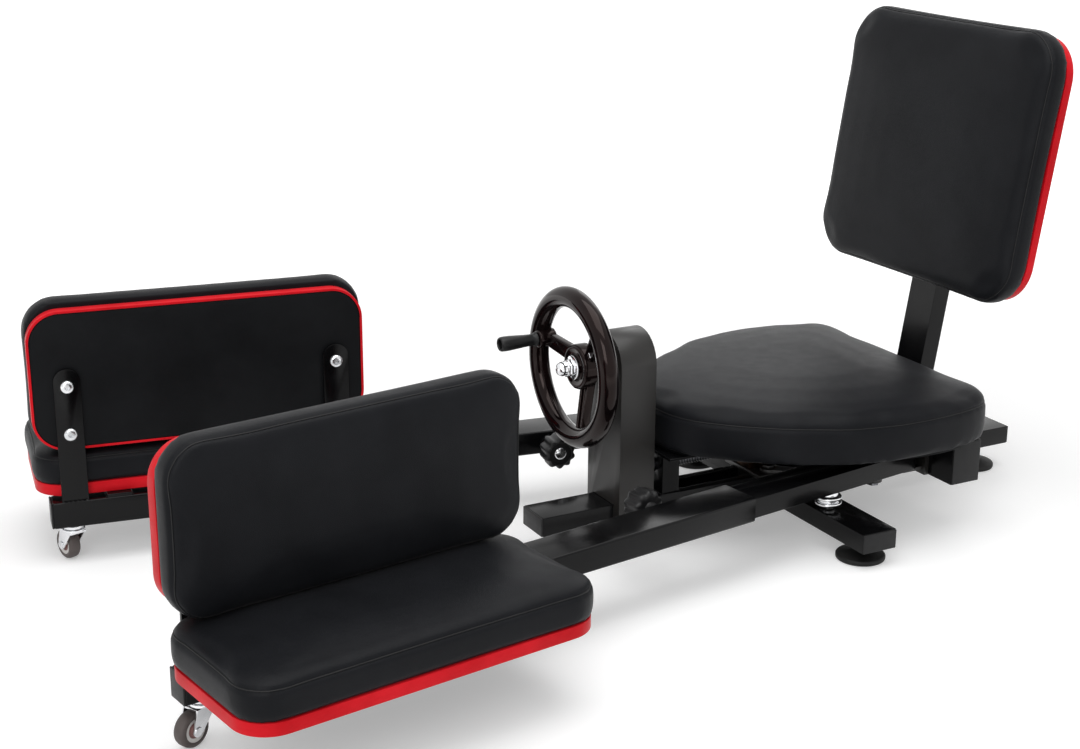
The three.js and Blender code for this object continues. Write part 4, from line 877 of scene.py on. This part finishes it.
stopLook = {"distance": 125, "rings": [(8.4, 47.3), (9, 47.9), (9, 53), (14, 53.3), (16.2, 54), (17, 55.2), (17, 56.8),
                                       (16.2, 57.8), (13.4, 58.4), (13.2, 60), (13.4, 61), (16.2, 61.6), (17, 62.6),
                                       (17, 64.4), (16.2, 65.4), (13.6, 66), (12.2, 66.4), (12, 76.6), (11.4, 77.2)]}


def thrustStop(side):
    return turnedPiece(stopLook["rings"], 56, armMatrix(side) @ placed(0, -stopLook["distance"], 0))


knobLook = {"distance": 378, "height": 90, "start": 40.4, "lobes": 10, "radius": 22.1, "flute": 3.2, "inner": 16.8,
            "body": [(8, 0), (8.6, 0.6), (8.6, 7.4), (9.2, 8.2), (17.4, 8.6), (20.2, 9.6), (21.6, 11.4), (22.1, 14),
                     (22.1, 29), (21.6, 32.4), (20.4, 34.8), (18.4, 36), (15.6, 36.1), (15, 35.6), (14.8, 34.1)],
            "cap": [(8.2, 33.8), (8.2, 34.6), (7.6, 35.3), (6, 35.8), (3, 36.1), (0, 36.2)],
            "pin": [(4, -14.6), (4, 1)]}


# Ten lobed knob: a round body whose flutes are drawn in step by step between the lobes
def lobedKnob(side):
    sides = knobLook["lobes"] * 8
    body = turnedPiece(knobLook["body"], sides)
    editMode(body, "DESELECT", "VERT")
    for level in range(1, 5):
        depth = knobLook["flute"] * (1 - math.cos(math.pi * level / 4)) / 2
        share = 1 - depth / knobLook["radius"]

        def onLevel(vertex):
            if math.hypot(vertex.co.x, vertex.co.y) < knobLook["inner"] * mm:
                return False
            step = round(math.atan2(vertex.co.y, vertex.co.x) / (2 * math.pi) * sides) % 8
            return step in (level, 8 - level)

        pick(body, "vertices", onLevel)
        bpy.ops.transform.resize(value=(share, share, 1), center_override=(0, 0, 0))
    objectMode()
    turn = armMatrix(side) @ placed(0, -knobLook["distance"], knobLook["height"])
    turn = turn @ turnBy(-90 * side, "Y") @ placed(0, 0, knobLook["start"])
    return settle(body, turn), turnedPiece(knobLook["cap"], 40, turn), turnedPiece(knobLook["pin"], 24, turn)


for label, side in armSides:
    dress(thrustStop(side), chrome, "arm_" + label, ["thrust_stop_" + label], 45, "thrust_ring_" + label)
    body, cap, pin = lobedKnob(side)
    dress(body, blackAbs, "knob_" + label, ["pull_knob_" + label], 40, "lobed_knob_" + label)
    dress(cap, chrome, "knob_" + label, (), 45, "knob_cap_" + label)
    dress(pin, zincBright, "knob_" + label, (), 45, "knob_pin_" + label)
print("feet and knobs ready")


# ---- sliding leg frames

legLook = {"sleeveHalf": 28.1, "sleeveTall": 15.6, "centre": 90, "sleeveRear": 278, "plateAt": 612, "plateThick": 5,
           "baseLow": 50, "baseHigh": 83.5, "baseInner": -26, "baseOuter": 4, "baseFront": 1016, "straps": (705, 935),
           "strapWide": 30, "strapReach": 150, "strapThick": 4, "brackets": (660, 988), "bracketFace": -25.3,
           "bracketThick": 5, "bracketWide": 32, "bracketTop": 252, "bolts": (170, 230), "bolt": (8.2, 4.6, 3.1),
           "bush": [(9, 0), (9, 11.2), (8.2, 12)], "bushRadius": 9, "wall": 2.5, "corner": 3.2, "bead": 1.5,
           "edge": {"sleeve": 0.5, "bracket": 0.7, "plate": 0.8, "base": 2.2, "plug": 0.9}, "overlap": 0.4}


def sideBox(side, v0, v1, f0, f1, z0, z1, edge, segments=3):
    low = (min(side * v0, side * v1), -max(f0, f1), z0)
    high = (max(side * v0, side * v1), -min(f0, f1), z1)
    return steelBox(low, high, edge, segments)


def padBracket(side, f):
    look = legLook
    half = look["bracketWide"] / 2
    bar = sideBox(side, look["bracketFace"], look["bracketFace"] + look["bracketThick"], f - half, f + half,
                  look["baseHigh"] - look["overlap"], look["bracketTop"], 0)
    editMode(bar)
    top = look["bracketTop"] * mm
    pick(bar, "edges", lambda e: abs(edgeMiddle(bar, e)[0].z - top) < 1e-5
         and abs(edgeMiddle(bar, e)[1].normalized().x) > 0.9)
    bpy.ops.mesh.bevel(offset=(half - 0.05) * mm, segments=14, affect="EDGES")
    objectMode()
    return bevelAll(bar, look["edge"]["bracket"] * mm, 2)


# The beads of a weld run in small steps, each a little thicker or thinner
beadLook = {"step": 1.6, "ripple": 0.16, "rippleTurn": 1.9}


def weldBeads(name, paths, radius):
    curve = bpy.data.curves.new(name, "CURVE")
    curve.dimensions, curve.bevel_depth, curve.bevel_resolution = "3D", radius * mm, 2
    curve.use_fill_caps = True
    for path in paths:
        points = []
        for first, last in zip(path[:-1], path[1:]):
            first, last = Vector(first), Vector(last)
            count = max(2, int((last - first).length / beadLook["step"]))
            points += [first.lerp(last, step / count) for step in range(count)]
        points.append(Vector(path[-1]))
        spline = curve.splines.new("POLY")
        spline.points.add(len(points) - 1)
        for index, point in enumerate(points):
            spline.points[index].co = (*(point * mm), 1)
            spline.points[index].radius = 1.0 + beadLook["ripple"] * math.sin(index * beadLook["rippleTurn"])
    bead = bpy.data.objects.new(name, curve)
    addToScene(bead)
    activate(bead)
    bpy.ops.object.convert(target="MESH")
    return bpy.context.object


def legFrame(side):
    look = legLook
    w, h, centre = look["sleeveHalf"], look["sleeveTall"], look["centre"]
    sleeve = steelTube((-w, -look["plateAt"], centre - h), (w, -look["sleeveRear"], centre + h), look["wall"],
                       look["corner"], False, True, look["plateAt"] - look["sleeveRear"] - 1)
    edge, overlap, low = look["edge"], look["overlap"], look["baseLow"]
    bevelAll(sleeve, edge["sleeve"] * mm, 2)
    front, base = look["plateAt"] + look["plateThick"], look["baseHigh"]
    parts = [sleeve, sideBox(side, -w, w, look["plateAt"], front, low, centre + h, edge["plate"]),
             sideBox(side, look["baseInner"], look["baseOuter"], front - 0.5, look["baseFront"], low, base,
                     edge["base"], 4)]
    for f in look["straps"]:
        half = look["strapWide"] / 2
        parts.append(sideBox(side, look["baseInner"] + 1, look["strapReach"], f - half, f + half, base - overlap,
                             base + look["strapThick"], edge["plate"]))
    for f in look["brackets"]:
        parts.append(padBracket(side, f))
    turn = placed(0, -knobLook["distance"], centre) @ turnBy(-90 * side, "Y") @ placed(0, 0, w)
    parts.append(turnedPiece(look["bush"], 32, turn))
    inner, outer = side * look["baseInner"], side * look["baseOuter"]
    paths = [[(inner, -front, low), (inner, -front, base), (outer, -front, base), (outer, -front, low)],
             [(-w, -look["plateAt"], centre + h), (w, -look["plateAt"], centre + h)]]
    for f in look["brackets"]:
        face = side * look["bracketFace"]
        paths.append([(face, -f - 14, base), (face, -f + 14, base)])
    for f in look["straps"]:
        for along in (-f - half, -f + half):
            paths.append([(side * (look["baseInner"] + 3), along, base + 0.3), (outer, along, base + 0.3)])
    radius, across = look["bushRadius"], side * -(w + 0.2)
    angles = [step * math.pi / 8 for step in range(17)]
    knobAt = -knobLook["distance"]
    paths.append([(across, knobAt + radius * math.cos(a), centre + radius * math.sin(a)) for a in angles])
    parts.append(weldBeads("beads", paths, look["bead"]))
    return settle(joinPieces("leg_frame_finish", parts), armMatrix(side))


boltLook = {"head": [(1, 0), (1, 0.3), (0.94, 0.58), (0.82, 0.8), (0.66, 0.94)], "lip": 1.25, "hexReach": 1.06,
            "hexDeep": 0.62}


# A button head bolt standing on z = 0, with a hexagon socket in its head
def socketBolt(radius, height, socket):
    rings = [(radius * across, height * up) for across, up in boltLook["head"]] + [(socket * boltLook["lip"], height)]
    head = turnedPiece(rings, 30)
    editMode(head, "DESELECT", "FACE")
    pick(head, "polygons", lambda f: f.normal.z > 0.99 and len(f.vertices) > 12)
    bpy.ops.mesh.delete(type="ONLY_FACE")
    bpy.ops.mesh.select_mode(type="EDGE")
    bpy.ops.mesh.primitive_circle_add(vertices=6, radius=socket * mm, location=(0, 0, height * mm))
    pick(head, "edges", lambda e: all(abs(head.data.vertices[i].co.z - height * mm) < 1e-6 for i in e.vertices))
    bpy.ops.mesh.bridge_edge_loops()
    inHex = socket * boltLook["hexReach"] * mm
    pick(head, "edges", lambda e: all(math.hypot(*head.data.vertices[i].co.xy) < inHex for i in e.vertices))
    bpy.ops.mesh.extrude_edges_move(TRANSFORM_OT_translate={"value": (0, 0, -height * boltLook["hexDeep"] * mm)})
    bpy.ops.mesh.edge_face_add()
    objectMode()
    fixNormals(head)
    return head


for label, side in armSides:
    body, arm, look = "leg_" + label, armMatrix(side), legLook
    dress(legFrame(side), glossSteel, body, ["leg_frame_" + label], 40, "leg_frame_welded_" + label)
    bolts = []
    for f in look["brackets"]:
        for z in look["bolts"]:
            turn = arm @ placed(side * look["bracketFace"], -f, z) @ turnBy(-90 * side, "Y")
            bolts.append(settle(socketBolt(*look["bolt"]), turn))
    dress(joinPieces("bracket_bolts_" + label, bolts), zincBright, body, (), 40)
    overlap, front = look["overlap"], look["baseFront"]
    plug = sideBox(side, look["baseInner"] + overlap, look["baseOuter"] - overlap, front - 0.5, front + 2.0,
                   look["baseLow"] + overlap, look["baseHigh"] - overlap, look["edge"]["plug"])
    dress(settle(plug, arm), capPlastic, body, (), 40, "base_tube_plug_" + label)
print("leg frames ready")

# Plugs and beads of the base: the first lists lie on the middle line, the second ones on both sides of it
baseTrim = {"plugs": [((-24.6, -99.306, 35.4), (24.6, -96.8, 59.6)), ((-24.6, 645.2, 35.4), (24.6, 647.694, 59.6))],
            "sidePlugs": [((224.5, 239.1, 22.4), (227, 288.3, 46.6)), ((178.5, 412.1, 66.4), (181, 455.3, 121.6))],
            "postPlug": ((-24.6, 0.4, -0.5), (24.6, 24.6, 2)), "postRise": 460, "edge": 0.9,
            "beads": [[(-25, 73.4, 60.2), (25, 73.4, 60.2), (25, 99.0, 60.2), (-25, 99.0, 60.2), (-25, 73.4, 60.2)],
                      [(-25, 461.6, 60.2), (25, 461.6, 60.2)], [(-25, 487.4, 60.2), (25, 487.4, 60.2)]],
            "sideBeads": [[(25.2, 238.4, 36), (25.2, 238.4, 47)], [(25.2, 289.0, 36), (25.2, 289.0, 47)],
                          [(25.3, 1.6, 60), (25.3, 51.8, 60)], [(25.2, 411.4, 61.5), (25.2, 456.0, 61.5)]],
            "beadRadius": 1.7}
plugs = [steelBox(low, high, baseTrim["edge"]) for low, high in baseTrim["plugs"]]
for low, high in baseTrim["sidePlugs"]:
    plugs.append(steelBox(low, high, baseTrim["edge"]))
    plugs.append(steelBox((-high[0], *low[1:]), (-low[0], *high[1:]), baseTrim["edge"]))
dress(joinPieces("tube_end_plugs", plugs), capPlastic, "frame", (), 40)
low, high = baseTrim["postPlug"]
postPlug = steelBox(low, high, baseTrim["edge"])
settle(postPlug, leaning @ placed(0, 0, baseTrim["postRise"] / math.cos(lean)))
dress(postPlug, capPlastic, "frame", (), 40, "post_plug")
beads = list(baseTrim["beads"])
for path in baseTrim["sideBeads"]:
    beads += [[(side * x, y, z) for x, y, z in path] for side in (1, -1)]
dress(weldBeads("frame_weld_beads", beads, baseTrim["beadRadius"]), glossSteel, "frame", (), 60)


# ---- casters

casterLook = {"trail": {"left": -73.6, "right": -156.4}, "distance": 992, "centre": -11, "wheel": 19, "behind": 16,
              "treadFrom": 12.5, "rimFrom": 8.3,
              "roller": [(3.3, 0), (5.4, 0), (6, 0.6), (6, 2.4), (8, 2.7), (8.6, 1.6), (12.2, 1.2), (12.6, 0.6),
                         (14.6, 0), (16.6, 0.5), (18.2, 1.9), (18.9, 4.2), (19, 7.5), (18.9, 10.8), (18.2, 13.1),
                         (16.6, 14.5), (14.6, 15), (12.6, 14.4), (12.2, 13.8), (8.6, 13.4), (8, 12.3), (6, 12.6),
                         (6, 14.4), (5.4, 15), (3.3, 15)],
              "stem": [(8, 44.7), (11.4, 44.9), (12, 45.6), (12, 48.6), (11.2, 49.6), (6, 49.7), (5, 49.8), (5, 59)],
              "axle": [(4.4, 0), (5, 0.6), (5, 1.8), (4.4, 2.4), (3, 2.5), (3, 20.8), (4.4, 20.9), (5, 21.4),
                       (5, 22.8), (4.2, 23.4)], "halfWide": 7.5, "halfAxle": 11.7}


def casterMatrix(label, side):
    turn = turnBy(casterLook["trail"][label], "Z")
    return armMatrix(side) @ placed(side * casterLook["centre"], -casterLook["distance"], 0) @ turn


def casterWheel(matrix):
    wheelPiece = turnedPiece(casterLook["roller"], 56)
    for material in (treadRubber, rimNylon, hubNylon):
        wheelPiece.data.materials.append(material)
    for face in wheelPiece.data.polygons:
        radius = math.hypot(face.center.x, face.center.y) if len(face.vertices) < 8 else 0
        face.material_index = (radius < casterLook["treadFrom"] * mm) + (radius < casterLook["rimFrom"] * mm)
    axis = placed(casterLook["behind"], casterLook["halfWide"], casterLook["wheel"]) @ alongFront
    return settle(wheelPiece, matrix @ axis)


for label, side in armSides:
    at = casterMatrix(label, side)
    rolling = casterWheel(at)
    dress(rolling, None, "wheel_" + label, ["caster_wheel_" + label], 40, "caster_roller_" + label)
    fork = softened("caster_fork_" + label, 0.5, 2)
    dress(fork, chrome, "fork_" + label, ["caster_fork_" + label])
    dress(turnedPiece(casterLook["stem"], 40, at), chrome, "leg_" + label,
          ["caster_stem_" + label], 35, "caster_cap_" + label)
    across = at @ placed(casterLook["behind"], casterLook["halfAxle"], casterLook["wheel"]) @ alongFront
    axle = turnedPiece(casterLook["axle"], 32, across)
    dress(axle, zincBright, "fork_" + label, ["caster_axle_" + label], 35, "caster_pin_" + label)
print("casters ready")


# ---- floor, camera and light

camera = {"lens": 60.41, "sensor": 36, "clip": (0.05, 60), "yaw": 61.8, "pitch": 17.85, "roll": 0.3,
          "place": (1.83855, -1.07525, 0.90937)}


def buildCamera():
    yaw, pitch, roll = (math.radians(camera[k]) for k in ("yaw", "pitch", "roll"))
    ahead = Vector((-math.sin(yaw) * math.cos(pitch), math.cos(yaw) * math.cos(pitch), -math.sin(pitch)))
    right = Vector((math.cos(yaw), math.sin(yaw), 0))
    up = right.cross(ahead)
    right, up = (right * math.cos(roll) + up * math.sin(roll), up * math.cos(roll) - right * math.sin(roll))
    data = bpy.data.cameras.new("camera")
    data.sensor_width, data.lens = camera["sensor"], camera["lens"]
    data.clip_start, data.clip_end = camera["clip"]
    view = bpy.data.objects.new("camera", data)
    addToScene(view)
    view.matrix_world = Matrix.Translation(camera["place"]) @ Matrix((right, up, -ahead)).transposed().to_4x4()
    bpy.context.scene.camera = view


studio = {"floor": 24, "below": 0.0002, "shown": 0.32, "lit": 0.8, "fade": (0.9, 2.4), "ambient": 0.45,
          "lamps": {"overhead_softbox": ((0.3, -0.2, 2.6), (0, 0, 0.1), 2.4, 45),
                    "camera_side_softbox": ((2.4, -2.2, 1.9), (0, -0.1, 0.2), 1.6, 30),
                    "rear_softbox": ((-1.8, 1.9, 1.8), (0, 0.1, 0.2), 1.4, 7)}}


# One for the rays that see the white backdrop: from the camera, off gloss and through glass
def backdropRays(tree):
    rays = addNode(tree, "ShaderNodeLightPath").outputs
    seen = addNode(tree, "ShaderNodeMath", {"operation": "MAXIMUM"},
                   {0: rays["Is Camera Ray"], 1: rays["Is Glossy Ray"]})
    return addNode(tree, "ShaderNodeMath", {"operation": "MAXIMUM"},
                   {0: seen.outputs[0], 1: rays["Is Transmission Ray"]}).outputs[0]


# A matt floor that keeps the shadow, lifted a little near the object and to full white away from it
def studioWhite(name):
    material = bpy.data.materials.new(name)
    tree = emptyTree(material)
    seen = backdropRays(tree)
    matt = addNode(tree, "ShaderNodeBsdfDiffuse", {"Color": (studio["lit"], studio["lit"], studio["lit"], 1)})
    place = addNode(tree, "ShaderNodeTexCoord").outputs["Object"]
    away = addNode(tree, "ShaderNodeVectorMath", {"operation": "LENGTH"}, {0: place})
    near, far = studio["fade"]
    fade = addNode(tree, "ShaderNodeMapRange", {"interpolation_type": "SMOOTHSTEP", "From Min": near, "From Max": far,
                                                "To Min": studio["shown"], "To Max": 1.0},
                   {"Value": away.outputs["Value"]})
    glow = addNode(tree, "ShaderNodeEmission", {"Color": (1, 1, 1, 1)}, {"Strength": fade.outputs["Result"]})
    none = addNode(tree, "ShaderNodeEmission", {"Color": (0, 0, 0, 1), "Strength": 0.0})
    lift = addNode(tree, "ShaderNodeMixShader", links={0: seen, 1: none.outputs[0], 2: glow.outputs[0]})
    both = addNode(tree, "ShaderNodeAddShader", links={0: matt.outputs[0], 1: lift.outputs[0]})
    addNode(tree, "ShaderNodeOutputMaterial", links={"Surface": both.outputs[0]})
    return material


def buildStage():
    clearSelection()
    bpy.ops.mesh.primitive_plane_add(size=studio["floor"], location=(0, 0, -studio["below"]))
    floor = bpy.context.object
    floor.name = "studio_floor"
    floor.data.materials.append(studioWhite("studio_floor_white"))
    world = bpy.data.worlds.new("studio")
    bpy.context.scene.world = world
    tree = emptyTree(world)
    ambient = addNode(tree, "ShaderNodeBackground", {"Color": (1, 1, 1, 1), "Strength": studio["ambient"]})
    white = addNode(tree, "ShaderNodeBackground", {"Color": (1, 1, 1, 1), "Strength": 1.0})
    seen = backdropRays(tree)
    mix = addNode(tree, "ShaderNodeMixShader", links={0: seen, 1: ambient.outputs[0], 2: white.outputs[0]})
    addNode(tree, "ShaderNodeOutputWorld", links={"Surface": mix.outputs[0]})
    bpy.context.scene.view_settings.view_transform = "Standard"


def areaLight(name, place, target, size, power):
    data = bpy.data.lights.new(name, "AREA")
    data.shape, data.size, data.energy = "SQUARE", size, power
    lamp = bpy.data.objects.new(name, data)
    addToScene(lamp)
    lamp.location = place
    lamp.rotation_mode = "QUATERNION"
    lamp.rotation_quaternion = (Vector(target) - Vector(place)).to_track_quat("-Z", "Y")


buildCamera()
buildStage()
for name, (place, target, size, power) in studio["lamps"].items():
    areaLight(name, place, target, size, power)
print("studio ready")
